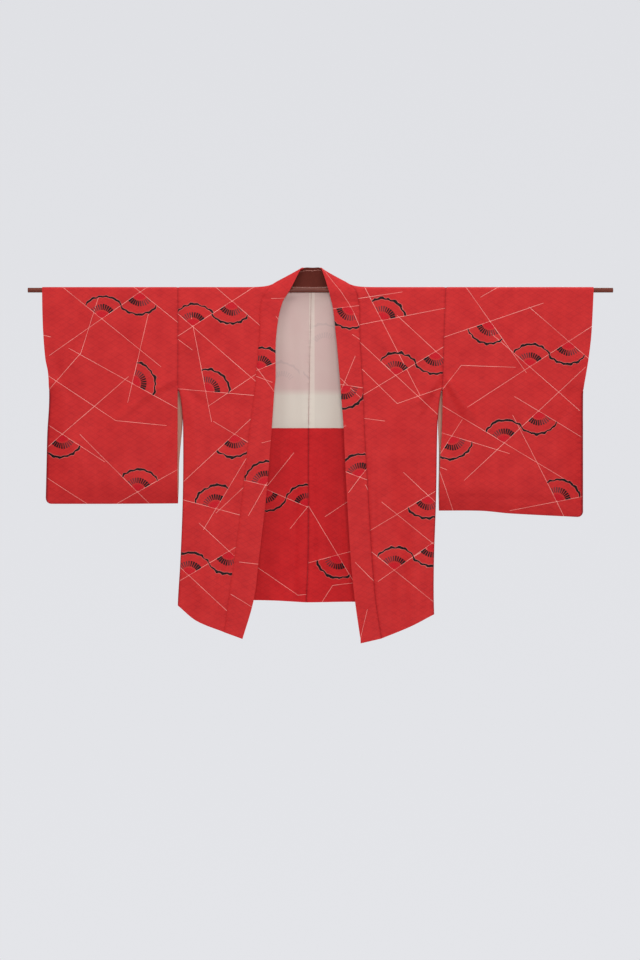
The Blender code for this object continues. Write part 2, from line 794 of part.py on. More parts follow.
def build():
    """Cuts every piece, sews them together and turns them into solids."""
    for obj in list(bpy.data.objects):
        bpy.data.objects.remove(obj, do_unlink=True)
    red = add_material("red_silk", (0.53, 0.03, 0.03), 0.55)
    cream = add_material("cream_lining", (0.72, 0.62, 0.52), 0.5)
    brown = add_material("dark_facing", (0.1, 0.02, 0.015), 0.6)
    wood = add_material("dark_wood", (0.17, 0.05, 0.035), 0.5)
    make_rod(wood)
    panels = {half.name: make_panel(half) for half in (LEFT, RIGHT)}
    collar, collar_seams, centre = make_collar()
    centre_rows = range(TOP_ROW, len(ROWS))
    centre_pairs = [((row, CENTRE_COLUMN), (row, CENTRE_COLUMN)) for row in centre_rows]
    sew(panels["left"], panels["right"], centre_pairs)
    for half in (LEFT, RIGHT):
        panel = panels[half.name]
        sleeve, ring, bottom = make_sleeve(half)
        gusset, front_pairs, back_pairs = make_gusset(half, panel)
        sew(panel, sleeve, armhole_pairs(ring))
        sew(panel, gusset, front_pairs)
        sew(panel, gusset, back_pairs)
        sew(panel, collar, collar_seams[half.name])
        sleeve.solid(red)
        gusset.solid(red)
        make_sleeve_lining(half, sleeve, ring, bottom).solid(cream)
    for half in (LEFT, RIGHT):
        panel = panels[half.name]
        lining, facing = make_back_layers(half, panel)
        lining.solid(cream)
        facing.solid(red)
        panel.solid(red)
    make_collar_facing(collar, centre).solid(brown)
    collar.solid(red)


build()
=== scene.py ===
"""Looks of a kimono jacket (haori) that hangs open on a straight wooden rod.

Frame: metres, +X to the viewer's right, the jacket's front looks along -Y, +Z up, origin on the rod's axis at
mid length. Left and right are the viewer's, and tables are in millimetres. Every cut piece is a thin shell on
the form of its solid, with finer creases. Its UV map "cloth" holds flat cloth metres: U across the piece, V
from the front hem (below 0) over the shoulder fold (0) to the back hem (above 0).
"""

import logging
import math
import random
from dataclasses import dataclass
from enum import Enum
from functools import partialmethod
from typing import NamedTuple

import bpy
import numpy as np
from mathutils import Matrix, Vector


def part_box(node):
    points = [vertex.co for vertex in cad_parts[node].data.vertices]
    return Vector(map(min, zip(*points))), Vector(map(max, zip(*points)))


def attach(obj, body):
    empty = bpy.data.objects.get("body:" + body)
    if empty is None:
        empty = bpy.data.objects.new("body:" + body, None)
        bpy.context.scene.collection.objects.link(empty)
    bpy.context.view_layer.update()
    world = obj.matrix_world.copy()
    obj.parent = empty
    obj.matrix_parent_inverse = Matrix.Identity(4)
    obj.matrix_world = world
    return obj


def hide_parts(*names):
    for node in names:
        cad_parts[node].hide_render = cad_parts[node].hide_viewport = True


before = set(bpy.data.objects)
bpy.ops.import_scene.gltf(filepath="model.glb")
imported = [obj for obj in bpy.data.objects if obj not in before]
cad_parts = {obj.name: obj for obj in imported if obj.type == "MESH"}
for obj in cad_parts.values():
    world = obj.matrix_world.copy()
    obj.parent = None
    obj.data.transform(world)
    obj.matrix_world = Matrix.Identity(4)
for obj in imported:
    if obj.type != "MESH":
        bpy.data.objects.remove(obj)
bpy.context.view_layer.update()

LOG = logging.getLogger("kimono_jacket")
MM = 0.001
Array = np.ndarray

# Rod and the shoulder fold that lies on it
ROD_LOW, ROD_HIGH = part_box("hanging_rod")
ROD_RADIUS = (ROD_HIGH.z - ROD_LOW.z) / 2
SEAM_GAP = 0.3 * MM
SOLID_WALL = 1.6 * MM
FOLD_RADIUS = (ROD_RADIUS + SEAM_GAP) / math.cos(math.radians(15)) + SOLID_WALL / 2
FOLD_LENGTH = math.pi * FOLD_RADIUS

# Depth: front and back hang apart by the gusset's width, more towards the hem
FRONT_FLARE = 22 * MM
BACK_FLARE = 20 * MM
FLARE_DROP = 350 * MM
SLEEVE_FLARE_SHARE = 0.45
SLEEVE_FLARE_REACH = 200 * MM
COLLAR_SWING = 4 * MM
COLLAR_SWING_DROP = 300 * MM
NECK_STANDOFF = 4 * MM
NECK_STANDOFF_DROP = 70 * MM
NECK_STANDOFF_FADE = 30 * MM
FOLD_FREE_DROP = 60 * MM
FOLD_FADE = 0.25
CREASE_DEPTH = 2.0
RIPPLE_BEND = 0.8
RIPPLE_BENDS_PER_METRE = 9

# Heights
SHOULDER_LEVEL = 7 * MM
NECK_START = -22 * MM
COLLAR_SET = -50 * MM
ARMHOLE_FOOT = -225 * MM
GUSSET_TOP = -233 * MM
LINING_HEM = -315.5 * MM

# Neck: shares of the way round the collar
FOLD_START_SHARE = 0.25
SHOULDER_SHARE = 0.5
NECK_LIFT_POWER = 14
NECK_TURN_DEPTH = 3 * MM
ROD_BULGE = 5 * MM
BACK_SIDE_SHARE = 0.75
FOLD_LOW_FADE = 0.25

# Walls of the finished cloth, and how its edges and corners are finished
SILK = 0.8 * MM
COLLAR_FOLDED = 2.6 * MM
LINING = 0.5 * MM
LINING_DROP = 1.3 * MM
COLLAR_LINING_DROP = 1.9 * MM
EDGE_ROUND = 1.0 * MM
EDGE_SEGMENTS = 3
EDGE_ANGLE = math.radians(60)
WELD = 0.01 * MM

# A seam pulls both pieces in and gets a painted shade line; on the collar's left seam the painted shade is
# fainter
SEAM_DIP = 0.9 * MM
SEAM_REACH = 2.6 * MM
QUIET_SEAM = 1.5 * MM

# Spacing of the points, the finer steps beside an edge, and the rows over the rod
STEP = 5.5 * MM
EDGE_STEPS = (0.0, 1.2 * MM, 2.6 * MM, 4.6 * MM, 7.6 * MM)
FOLD_TURNS = 14


class FrontRow(NamedTuple):
    """Where a front's side seam, collar seam and free collar edge run at one height."""

    level: float
    side: float
    seam: float
    edge: float


class NeckRow(NamedTuple):
    """A section of the collar round the neck, by its share of the way to centre back."""

    share: float
    seam: tuple
    edge: tuple


class SleeveRow(NamedTuple):
    """Where a sleeve's two upright edges run at one height."""

    level: float
    inner: float
    outer: float


class HemRow(NamedTuple):
    """Height of a lower edge at a share of the way across the piece."""

    share: float
    level: float


class Crease(NamedTuple):
    """A soft ridge (or trough, with a negative height) from one point to another, bowed to one side."""

    x0: float
    z0: float
    x1: float
    z1: float
    width: float
    height: float
    bow: float = 0.0


class Pucker(NamedTuple):
    """A small ridge across the collar band at a height, and how far it slants across the width."""

    level: float
    width: float
    height: float
    slant: float


class Fan(NamedTuple):
    """A printed folding fan: its pivot on the flat cloth, the way it opens in degrees, and its partner.

    A partner opens the opposite way from a pivot on the line of this fan's right side (1) or left side (-1).
    """

    across: float
    fall: float
    opens: float
    partner: int = 0


class Stroke(NamedTuple):
    """One straight run of the thin printed line, on the flat cloth in metres."""

    start: tuple
    end: tuple


class Zone(Enum):
    """Which part of a length of cloth a row lies on."""

    FRONT = "front"
    FOLD = "fold"
    BACK = "back"


class Row(NamedTuple):
    """A line across a piece: at a level, at a share of the way to the hem, or at a turn over the rod."""

    zone: Zone
    level: float = 0.0
    to_hem: float = 0.0
    turn: float = 0.0
    round: float = 0.0


class Slot(Enum):
    """The record's material slots."""

    SILK = "red_silk"
    LINING = "cream_lining"
    FACING = "dark_facing"
    WOOD = "dark_wood"


def rows_of(kind: type, *rows: tuple) -> tuple:
    """A table, each row as a NamedTuple of one kind."""
    return tuple(kind(*row) for row in rows)


def joined(*parts: Array) -> Array:
    """Separate coordinates as one array of points."""
    return np.stack(parts, axis=-1)


def ease(value: Array) -> Array:
    """Smooth step from 0 to 1."""
    value = np.clip(value, 0.0, 1.0)
    return value * value * (3 - 2 * value)


class Curve:
    """A smooth curve through the rows of a table, read at any value of its key."""

    def __init__(self, keys: list, values: list) -> None:
        """Sorts the rows and works out the slope at each.

        Args:
            keys: The key of each row.
            values: The value of each row.
        """
        order = np.argsort(keys)
        self.keys = np.array(keys, float)[order]
        self.values = np.array(values, float)[order]
        low = np.maximum(np.arange(len(keys)) - 1, 0)
        high = np.minimum(np.arange(len(keys)) + 1, len(keys) - 1)
        self.slopes = (self.values[high] - self.values[low]) / (self.keys[high] - self.keys[low])

    @classmethod
    def each(cls, rows: tuple) -> list:
        """A curve for each column of a table in millimetres, by its first one."""
        keys, *columns = np.array(rows, float).T * MM
        return [cls(keys, column) for column in columns]

    def __call__(self, at: Array) -> Array:
        """Reads the curve.

        Args:
            at: Keys to read it at.

        Returns:
            The value at each key, held at the ends.
        """
        at = np.clip(at, self.keys[0], self.keys[-1])
        index = np.clip(np.searchsorted(self.keys, at, side="right") - 1, 0, len(self.keys) - 2)
        span = self.keys[index + 1] - self.keys[index]
        t = (at - self.keys[index]) / span
        return (
            (2 * t**3 - 3 * t**2 + 1) * self.values[index]
            + (t**3 - 2 * t**2 + t) * span * self.slopes[index]
            + (3 * t**2 - 2 * t**3) * self.values[index + 1]
            + (t**3 - t**2) * span * self.slopes[index + 1]
        )


class Half:
    """One half of the jacket: its edges as smooth curves, in metres."""

    def __init__(self, name: str, front: tuple, neck: tuple, sleeve: tuple, hems: dict) -> None:
        """Reads the tables.

        Args:
            name: "left" or "right", as the viewer sees it.
            front: FrontRow table.
            neck: NeckRow table.
            sleeve: SleeveRow table.
            hems: HemRow tables by the name of the edge.
        """
        self.name = name
        self.mirrored = name == "right"
        self.sign = 1 if self.mirrored else -1
        self.side, self.seam, self.edge = Curve.each(front)
        self.inner, self.outer = Curve.each(sleeve)
        self.sleeve_width = abs(sleeve[-1].outer - sleeve[-1].inner) * MM
        self.hem = {
            edge: Curve([row.share for row in rows], [row.level * MM for row in rows])
            for edge, rows in hems.items()
        }
        shares = [row.share for row in neck]
        self.neck_curves = {
            line: [Curve(shares, [getattr(row, line)[axis] * MM for row in neck]) for axis in range(3)]
            for line in ("seam", "edge")
        }
        self.shoulder_x = float(self.neck_curves["seam"][0](SHOULDER_SHARE))

    def neck(self, share: Array, line: str = "seam") -> Array:
        """Points of the collar's seam or free edge round the neck."""
        return joined(*(curve(share) for curve in self.neck_curves[line]))


CENTRE_NECK = (1.0, (-20, 12, 7), (-17, 15, 52))

LEFT = Half(
    "left",
    front=rows_of(
        FrontRow,
        (7, -326.3, -112, -60), (-22, -326.3, -134, -85), (-105, -326.1, -139.5, -101),
        (-206, -326, -147.7, -102.5), (-225, -326, -149.5, -105), (-234, -322.4, -150.7, -105.5),
        (-265, -317.5, -154.6, -107.5), (-316, -313.5, -161.4, -111), (-470, -314, -178, -123.5),
        (-620, -319.5, -197, -141), (-710, -325, -210, -152.5), (-800, -326.5, -221, -178.5),
    ),
    neck=rows_of(
        NeckRow,
        (0.0, (-134, -8, -22), (-85, -9, -24)), (0.25, (-121, -8.8, 0), (-68, -9.5, 3)),
        (0.5, (-98, 0, 19), (-46, 2, 46)), (0.7, (-66, 9, 13), (-37.5, 11, 52)), CENTRE_NECK,
    ),
    sleeve=rows_of(
        SleeveRow,
        (7, -326.3, -637), (-68, -326.2, -635.5), (-114, -326.1, -633), (-160, -326, -628.6),
        (-188, -326, -623), (-225, -326, -621), (-265, -326, -621.3), (-325, -326, -625),
        (-405, -326, -627), (-490, -326, -629),
    ),
    hems={
        "front": rows_of(HemRow, (0, -721), (0.38, -755), (1, -782)),
        "collar": rows_of(HemRow, (0, -782), (1, -797)),
        "back": rows_of(HemRow, (0, -719), (0.55, -711), (1, -716)),
        "sleeve": rows_of(HemRow, (0, -488), (0.5, -489), (1, -489)),
    },
)

RIGHT = Half(
    "right",
    front=rows_of(
        FrontRow,
        (7, 286.9, 66, 8), (-22, 285.8, 86.4, 24.5), (-105, 282.3, 90, 35.5), (-206, 279.8, 95.8, 44.5),
        (-225, 279, 96.8, 45.8), (-234, 275.4, 97.2, 46.5), (-265, 271, 98.6, 49), (-316, 267, 100, 52.7),
        (-470, 264, 108.6, 60.3), (-620, 259, 117.5, 69.5), (-710, 258.5, 125.5, 78.7),
        (-800, 262, 139.5, 91.5),
    ),
    neck=rows_of(
        NeckRow,
        (0.0, (86.4, -8, -22), (24.5, -9, -24)), (0.25, (79, -8.8, 0), (17.5, -9.5, 3)),
        (0.5, (55, 0, 19), (4, 2, 45)), (0.7, (25, 9, 13), (0, 11, 52)), CENTRE_NECK,
    ),
    sleeve=rows_of(
        SleeveRow,
        (7, 286.9, 625.4), (-68, 283.8, 621.7), (-114, 282, 618.5), (-160, 281, 612.6), (-188, 280.2, 608),
        (-225, 279, 602), (-265, 278.6, 601), (-325, 277, 601), (-405, 272.5, 601), (-520, 271, 601),
    ),
    hems={
        "front": rows_of(HemRow, (0, -741), (0.42, -768), (1, -796)),
        "collar": rows_of(HemRow, (0, -799), (1, -807)),
        "back": rows_of(HemRow, (0, -736), (0.55, -716), (1, -716)),
        "sleeve": rows_of(HemRow, (0, -504.5), (0.3, -505), (0.5, -511), (1, -519.5)),
    },
)

HALVES = (LEFT, RIGHT)

CENTRE_SEAM = Curve.each(((5, -21), (-300, -27), (-618, -28.5), (-720, -33)))[0]

# The solids' large folds
FRONT_FOLDS = rows_of(
    Crease,
    (-345, -205, -535, -405, 34, 5), (-336, -235, -420, -440, 26, -4), (-600, -250, -560, -470, 40, 3),
    (-232, -45, -308, -140, 26, 4), (-280, -300, -250, -740, 45, 4), (-205, -420, -225, -760, 30, -4),
    (150, -300, 160, -780, 24, 5), (215, -320, 225, -760, 34, -4), (290, -205, 345, -290, 20, 5),
    (300, -230, 330, -480, 28, -4), (430, -120, 560, -470, 48, 4),
)

BACK_FOLDS = rows_of(
    Crease,
    (-70, -150, -90, -700, 30, 4), (30, -180, 45, -700, 28, 4), (-200, -220, -230, -690, 46, 5),
    (180, -240, 190, -700, 44, 5), (-360, -210, -520, -420, 40, 4), (330, -220, 520, -450, 44, 4),
)

# Finer creases of the cloth itself
FRONT_CREASES = rows_of(
    Crease,
    (-334, -222, -470, -318, 9, -1.6, 6), (-340, -208, -455, -292, 7, 1.3, 6),
    (-336, -300, -395, -440, 11, -1.4, -8), (-612, -472, -345, -480, 9, -1.3, 4),
    (-600, -300, -520, -470, 14, 1.2, -10), (-520, -30, -560, -210, 16, 1.0, 8),
    (-420, -24, -405, -150, 14, 0.9, -6), (-610, -150, -560, -260, 10, -1.1, 8),
    (-452, -330, -490, -466, 12, 1.0, 6), (-240, -52, -306, -134, 9, 1.6, 5),
    (-206, -62, -262, -170, 12, -1.1, 8), (-316, -212, -262, -262, 8, -1.4, 5),
    (-300, -250, -282, -430, 12, 1.1, -7), (-185, -150, -205, -360, 11, 1.0, 6),
    (-260, -470, -290, -690, 13, -1.2, -9), (-216, -560, -232, -760, 9, 1.3, 5),
    (-296, -640, -240, -728, 12, 1.1, 8), (112, -60, 170, -190, 13, 1.0, -7),
    (272, -196, 214, -262, 8, 1.6, -5), (268, -222, 226, -300, 7, -1.2, -5),
    (120, -330, 132, -700, 9, 1.4, 4), (236, -380, 214, -600, 13, -1.1, 8),
    (176, -560, 196, -770, 11, 1.0, -6), (250, -600, 222, -742, 12, 1.2, 6),
    (288, -200, 350, -288, 6, 2.0, 3), (286, -222, 332, -310, 7, -1.9, 4),
    (284, -176, 288, -292, 7, -1.3, 0), (300, -474, 592, -492, 8, -1.3, -5),
    (336, -300, 372, -470, 12, 1.2, 8), (398, -30, 410, -170, 15, 0.9, -7),
    (540, -28, 520, -190, 15, 1.0, 8), (590, -190, 530, -330, 12, -1.2, -8),
    (470, -300, 520, -480, 13, 1.1, 9), (420, -250, 470, -330, 9, -0.9, 6),
)

BACK_CREASES = rows_of(
    Crease,
    (-332, -222, -470, -330, 9, -1.5, 6), (-346, -300, -400, -450, 11, 1.2, -8),
    (-606, -470, -350, -478, 9, -1.2, 4), (-560, -60, -530, -230, 16, 1.0, 8),
    (-600, -220, -540, -400, 13, 1.1, 8), (-300, -228, -250, -330, 10, -1.3, 6),
    (-250, -90, -290, -210, 14, 1.1, -6), (-150, -60, -176, -300, 14, 1.1, 6),
    (-286, -420, -262, -690, 12, 1.3, -8), (-150, -380, -166, -700, 13, -1.2, 6),
    (-52, -430, -60, -706, 8, 1.3, 3), (-118, -640, -92, -706, 9, 1.8, 4),
    (-96, -700, -118, -652, 7, -1.5, -3), (-10, -330, -4, -700, 9, 1.2, -4),
    (60, -520, 84, -704, 11, -1.2, 5), (-70, -640, 64, -650, 12, 0.9, -6),
    (120, -80, 146, -320, 14, 1.1, -6), (236, -300, 214, -560, 13, 1.2, 8),
    (152, -460, 168, -704, 11, -1.1, 5), (262, -226, 220, -320, 9, -1.4, -5),
    (330, -230, 440, -340, 8, 1.7, -6), (320, -262, 372, -420, 10, -1.4, -7),
    (380, -60, 400, -210, 15, 1.0, 7), (540, -50, 560, -240, 14, 1.0, -8),
    (590, -260, 520, -430, 12, 1.2, 9), (310, -486, 590, -500, 8, -1.2, -5),
)

COLLAR_PUCKERS = {
    "left": rows_of(
        Pucker,
        (-142, 10, 0.7, 6), (-236, 8, 0.8, -5), (-330, 9, 0.7, 7), (-452, 12, 0.9, -6), (-600, 10, 0.8, 8),
        (-700, 12, 0.7, -6),
    ),
    "right": rows_of(
        Pucker,
        (-150, 11, 0.8, -6), (-212, 7, 1.0, 9), (-262, 6, 1.1, -8), (-318, 8, 1.2, 7), (-346, 6, 1.0, 10),
        (-402, 7, 1.2, -9), (-438, 6, 1.0, -6), (-500, 8, 1.2, 8), (-548, 7, 1.0, 6), (-604, 8, 1.1, -9),
        (-690, 12, 0.8, 6),
    ),
}


def creases_at(creases: tuple, x: Array, z: Array) -> Array:
    """How far the cloth stands out because of its folds.

    Args:
        creases: Crease table.
        x: Where to read, in metres.
        z: Height there.

    Returns:
        The distance out of the cloth, in metres.
    """
    out = np.zeros(np.broadcast(x, z).shape)
    for crease in creases:
        x0, z0 = crease.x0 * MM, crease.z0 * MM
        run_x, run_z = crease.x1 * MM - x0, crease.z1 * MM - z0
        length = math.hypot(run_x, run_z)
        along = ((x - x0) * run_x + (z - z0) * run_z) / length**2
        offset = ((x - x0) * run_z - (z - z0) * run_x) / length
        offset = offset - crease.bow * MM * 4 * np.clip(along, 0, 1) * (1 - np.clip(along, 0, 1))
        starts = ease((along + FOLD_FADE) / (2 * FOLD_FADE))
        fade = starts * ease((1 + FOLD_FADE - along) / (2 * FOLD_FADE))
        out = out + crease.height * MM * np.exp(-((offset / (crease.width * MM)) ** 2)) * fade
    return out * ease(-z / FOLD_FREE_DROP)


class Ripple(NamedTuple):
    """A long shallow wave in the hanging cloth: its directions per metre, height and phase."""

    by_x: float
    by_z: float
    height: float
    phase: float


RIPPLES = rows_of(
    Ripple,
    (61, 11, 0.35, 0.4), (37, -23, 0.45, 2.1), (88, 41, 0.18, 4.0), (23, 52, 0.25, 1.3),
    (112, -35, 0.12, 5.2),
)


def ripples_at(x: Array, z: Array, side: float) -> Array:
    """The cloth's faint unevenness, different on front and back.

    Args:
        x: Where to read, in metres.
        z: Height there.
        side: 1 on the front, -1 on the back.

    Returns:
        The distance out of the cloth, in metres.
    """
    out = np.zeros(np.broadcast(x, z).shape)
    for ripple in RIPPLES:
        bend = RIPPLE_BEND * np.sin(RIPPLE_BENDS_PER_METRE * z + ripple.phase * side)
        place = ripple.by_x * x + ripple.by_z * z + ripple.phase * (2 + side) + bend
        out = out + ripple.height * MM * np.sin(place)
    return out * ease(-z / FOLD_FREE_DROP)


def flare(x: Array, z: Array, depth: float) -> Array:
    """How far a layer hangs out from the plane of the rod's side, less on the sleeves.

    Args:
        x: Where to read, in metres.
        z: Height there.
        depth: How far it would hang out at the very bottom.

    Returns:
        The distance from that plane, in metres.
    """
    left, right = float(LEFT.side(SHOULDER_LEVEL)), float(RIGHT.side(SHOULDER_LEVEL))
    beyond = np.maximum(np.maximum(left - x, x - right), 0.0) / SLEEVE_FLARE_REACH
    share = 1 - (1 - SLEEVE_FLARE_SHARE) * ease(beyond)
    return depth * share * (1 - np.exp(np.minimum(z, 0.0) / FLARE_DROP))


def front_y(x: Array, z: Array) -> Array:
    """Middle surface of everything that faces the viewer."""
    folds = creases_at(FRONT_FOLDS, x, z) + creases_at(FRONT_CREASES, x, z) * CREASE_DEPTH
    return -FOLD_RADIUS - flare(x, z, FRONT_FLARE) - folds - ripples_at(x, z, 1.0)


def back_y(x: Array, z: Array) -> Array:
    """Middle surface of the back, which stands clear of the rod below the collar.

    Args:
        x: Where to read, in metres.
        z: Height there.

    Returns:
        Y of the back.
    """
    inside = ease((x - LEFT.shoulder_x) / NECK_STANDOFF_FADE + 0.5)
    inside = inside * ease((RIGHT.shoulder_x - x) / NECK_STANDOFF_FADE + 0.5)
    standoff = NECK_STANDOFF * inside * np.exp(np.minimum(z, 0.0) / NECK_STANDOFF_DROP)
    folds = creases_at(BACK_FOLDS, x, z) + creases_at(BACK_CREASES, x, z) * CREASE_DEPTH
    return FOLD_RADIUS + flare(x, z, BACK_FLARE) + standoff + folds + ripples_at(x, z, -1.0)


def arc(x: Array, turn: float) -> Array:
    """Points of the shoulder fold over the rod.

    Args:
        x: Where the points lie along the rod.
        turn: The way over it, from the front (0) to the back (1).

    Returns:
        One point for each x.
    """
    angle = math.pi * (1 - turn)
    return joined(x, *(FOLD_RADIUS * part * np.ones_like(x) for part in (math.cos(angle), math.sin(angle))))


def fall_of(row: Row, z: Array) -> Array:
    """Distance down the flat cloth from the front of the shoulder fold.

    Args:
        row: The row that the points lie on.
        z: Their heights.

    Returns:
        The distance of each point, below 0 on the front.
    """
    if row.zone is Zone.FRONT:
        return np.asarray(z)
    if row.zone is Zone.FOLD:
        return np.full(np.shape(z), row.turn * FOLD_LENGTH)
    return FOLD_LENGTH - z


def graded(length: float, fine_start: bool = True, step: float = STEP) -> Array:
    """Shares from 0 to 1 along an edge, closer together beside its ends.

    Args:
        length: The edge's length in metres.
        fine_start: Whether the first points lie closer too, besides the last ones.
        step: The usual spacing.

    Returns:
        Rising shares, 0 and 1 among them.
    """
    start = np.array(EDGE_STEPS if fine_start else (0.0,))
    end = length - np.array(EDGE_STEPS)[::-1]
    count = max(round((end[0] - start[-1]) / step), 1)
    middle = np.linspace(start[-1], end[0], count + 1)
    return np.concatenate([start[:-1], middle, end[1:]]) / length


class Cloth:
    """A rectangle of cloth: points, flat places and seam places by (row, column)."""

    def __init__(self, points: Array, flat: Array, seam: Array, flipped: bool) -> None:
        """Keeps the arrays.

        Args:
            points: Row, column, XYZ in metres.
            flat: Row, column, UV on the flat cloth in metres.
            seam: Row, column, (distance to the nearest seam, place along it) in metres.
            flipped: Whether rows and columns turn the other way round the outward normal.
        """
        self.points = points
        self.flat = flat
        self.seam = seam
        self.flipped = flipped

    @property
    def normals(self) -> Array:
        """The cloth's own directions.

        Returns:
            The outward unit normal at every point.
        """
        down = np.gradient(self.points, axis=0)
        across = np.gradient(self.points, axis=1)
        normals = np.cross(across, down)
        normals /= np.maximum(np.linalg.norm(normals, axis=-1, keepdims=True), 1e-12)
        return -normals if self.flipped else normals

    def moved(self, out: Array) -> "Cloth":
        """A copy moved along its normals, outwards if above 0."""
        out = np.broadcast_to(out, self.points.shape[:2])
        return Cloth(self.points + self.normals * out[..., None], self.flat, self.seam, self.flipped)

    def part(self, rows: slice, columns: slice) -> "Cloth":
        """The cloth between some rows and columns."""
        return Cloth(
            self.points[rows, columns], self.flat[rows, columns], self.seam[rows, columns], self.flipped
        )


def pulled_in(distance: Array) -> Array:
    """How far a seam pulls the cloth in, by the distance to it."""
    return -SEAM_DIP * np.exp(-((distance / SEAM_REACH) ** 2))


class Builder:
    """Turns a Cloth into a finished mesh object with modelling operators."""

    FAR = 1.0
    SMOOTH_ANGLE = math.radians(50)

    @staticmethod
    def deselect() -> None:
        """Leaves nothing selected."""
        bpy.ops.object.select_all(action="DESELECT")

    @staticmethod
    def fan_places(flat: Array, fans: tuple) -> Array:
        """Where each face's corners lie from the pivot of its nearest fan.

        Args:
            flat: Face, corner, UV on the flat cloth.
            fans: Fan rows of this layer.

        Returns:
            Face, corner, (aside of the fan's axis, along its axis) in metres.
        """
        if not fans:
            return np.full(flat.shape, Builder.FAR)
        pivots = np.array([(fan.across, fan.fall) for fan in fans]) * MM
        turns = np.radians([fan.opens for fan in fans])
        axes = joined(np.cos(turns), np.sin(turns))
        middles = pivots + axes * FanPrint.REACH / 2
        gaps = np.linalg.norm(flat.mean(axis=1)[:, None] - middles[None], axis=-1)
        nearest = np.argmin(gaps, axis=1)
        away = flat - pivots[nearest][:, None]
        axis = axes[nearest][:, None]
        along = (away * axis).sum(axis=-1)
        aside = away[..., 1] * axis[..., 0] - away[..., 0] * axis[..., 1]
        return joined(aside, along)

    @classmethod
    def build(
        cls,
        name: str,
        cloth: Cloth,
        wall: float,
        fans: tuple = (),
        keep: Array | None = None,
        merged: bool = False,
        rounded: float = 0.0,
    ) -> bpy.types.Object:
        """Models one piece.

        Args:
            name: The piece's name.
            cloth: Its middle surface.
            wall: Its thickness.
            fans: Fan rows printed on it.
            keep: Which faces stay, by (row, column), or all of them.
            merged: Whether its edges meet each other and are closed.
            rounded: Radius of its edges, or 0.

        Returns:
            The finished object.
        """
        rows, columns = cloth.points.shape[:2]
        cls.deselect()
        bpy.ops.mesh.primitive_grid_add(x_subdivisions=columns - 1, y_subdivisions=rows - 1, size=1.0)
        piece = bpy.context.object
        piece.name = piece.data.name = name
        mesh = piece.data
        places = np.empty(len(mesh.vertices) * 3)
        mesh.vertices.foreach_get("co", places)
        places = places.reshape(-1, 3) + 0.5
        column = np.rint(places[:, 0] * (columns - 1)).astype(int)
        row = np.rint(places[:, 1] * (rows - 1)).astype(int)
        mesh.vertices.foreach_set("co", cloth.points[row, column].ravel())
        corners = np.empty(len(mesh.loops), int)
        mesh.loops.foreach_get("vertex_index", corners)
        faces = corners.reshape(-1, 4)
        flat = cloth.flat[row[faces], column[faces]]
        layers = {
            "cloth": flat,
            "seam": cloth.seam[row[faces], column[faces]],
            "fan_a": cls.fan_places(flat, fans),
            "fan_b": cls.fan_places(flat, partners(fans)),
        }
        mesh.uv_layers.remove(mesh.uv_layers[0])
        for layer, values in layers.items():
            mesh.uv_layers.new(name=layer).uv.foreach_set("vector", values.astype(np.float32).ravel())
        bpy.ops.object.mode_set(mode="EDIT")
        if keep is not None:
            bpy.ops.mesh.select_mode(type="FACE")
            bpy.ops.object.mode_set(mode="OBJECT")
            kept = keep[row[faces].min(axis=1), column[faces].min(axis=1)]
            mesh.polygons.foreach_set("select", ~kept)
            bpy.ops.object.mode_set(mode="EDIT")
            bpy.ops.mesh.delete(type="FACE")
        bpy.ops.mesh.select_all(action="SELECT")
        if merged:
            bpy.ops.mesh.remove_doubles(threshold=WELD)
        if cloth.flipped:
            bpy.ops.mesh.flip_normals()
        bpy.ops.object.mode_set(mode="OBJECT")
        cls.thicken(piece, wall, rounded)
        return piece

    @classmethod
    def thicken(cls, piece: bpy.types.Object, wall: float, rounded: float) -> None:
        """Gives the surface its wall and its edges their roundness.

        Args:
            piece: The piece, still a surface.
            wall: Its thickness.
            rounded: Radius of its edges, or 0.
        """
        solidify = piece.modifiers.new("wall", "SOLIDIFY")
        solidify.thickness = wall
        solidify.offset = 0.0
        solidify.use_even_offset = wall > LINING
        bpy.ops.object.modifier_apply(modifier=solidify.name)
        if rounded:
            cls.round_edges(piece, rounded)
        bpy.ops.object.shade_smooth_by_angle(angle=cls.SMOOTH_ANGLE)

    @staticmethod
    def round_edges(piece: bpy.types.Object, radius: float) -> None:
        """Rounds off the sharp edges of a piece.

        Args:
            piece: The piece.
            radius: Radius of the edges.
        """
        bevel = piece.modifiers.new("edge", "BEVEL")
        bevel.width = radius
        bevel.segments = EDGE_SEGMENTS
        bevel.limit_method = "ANGLE"
        bevel.angle_limit = EDGE_ANGLE
        bpy.ops.object.modifier_apply(modifier=bevel.name)


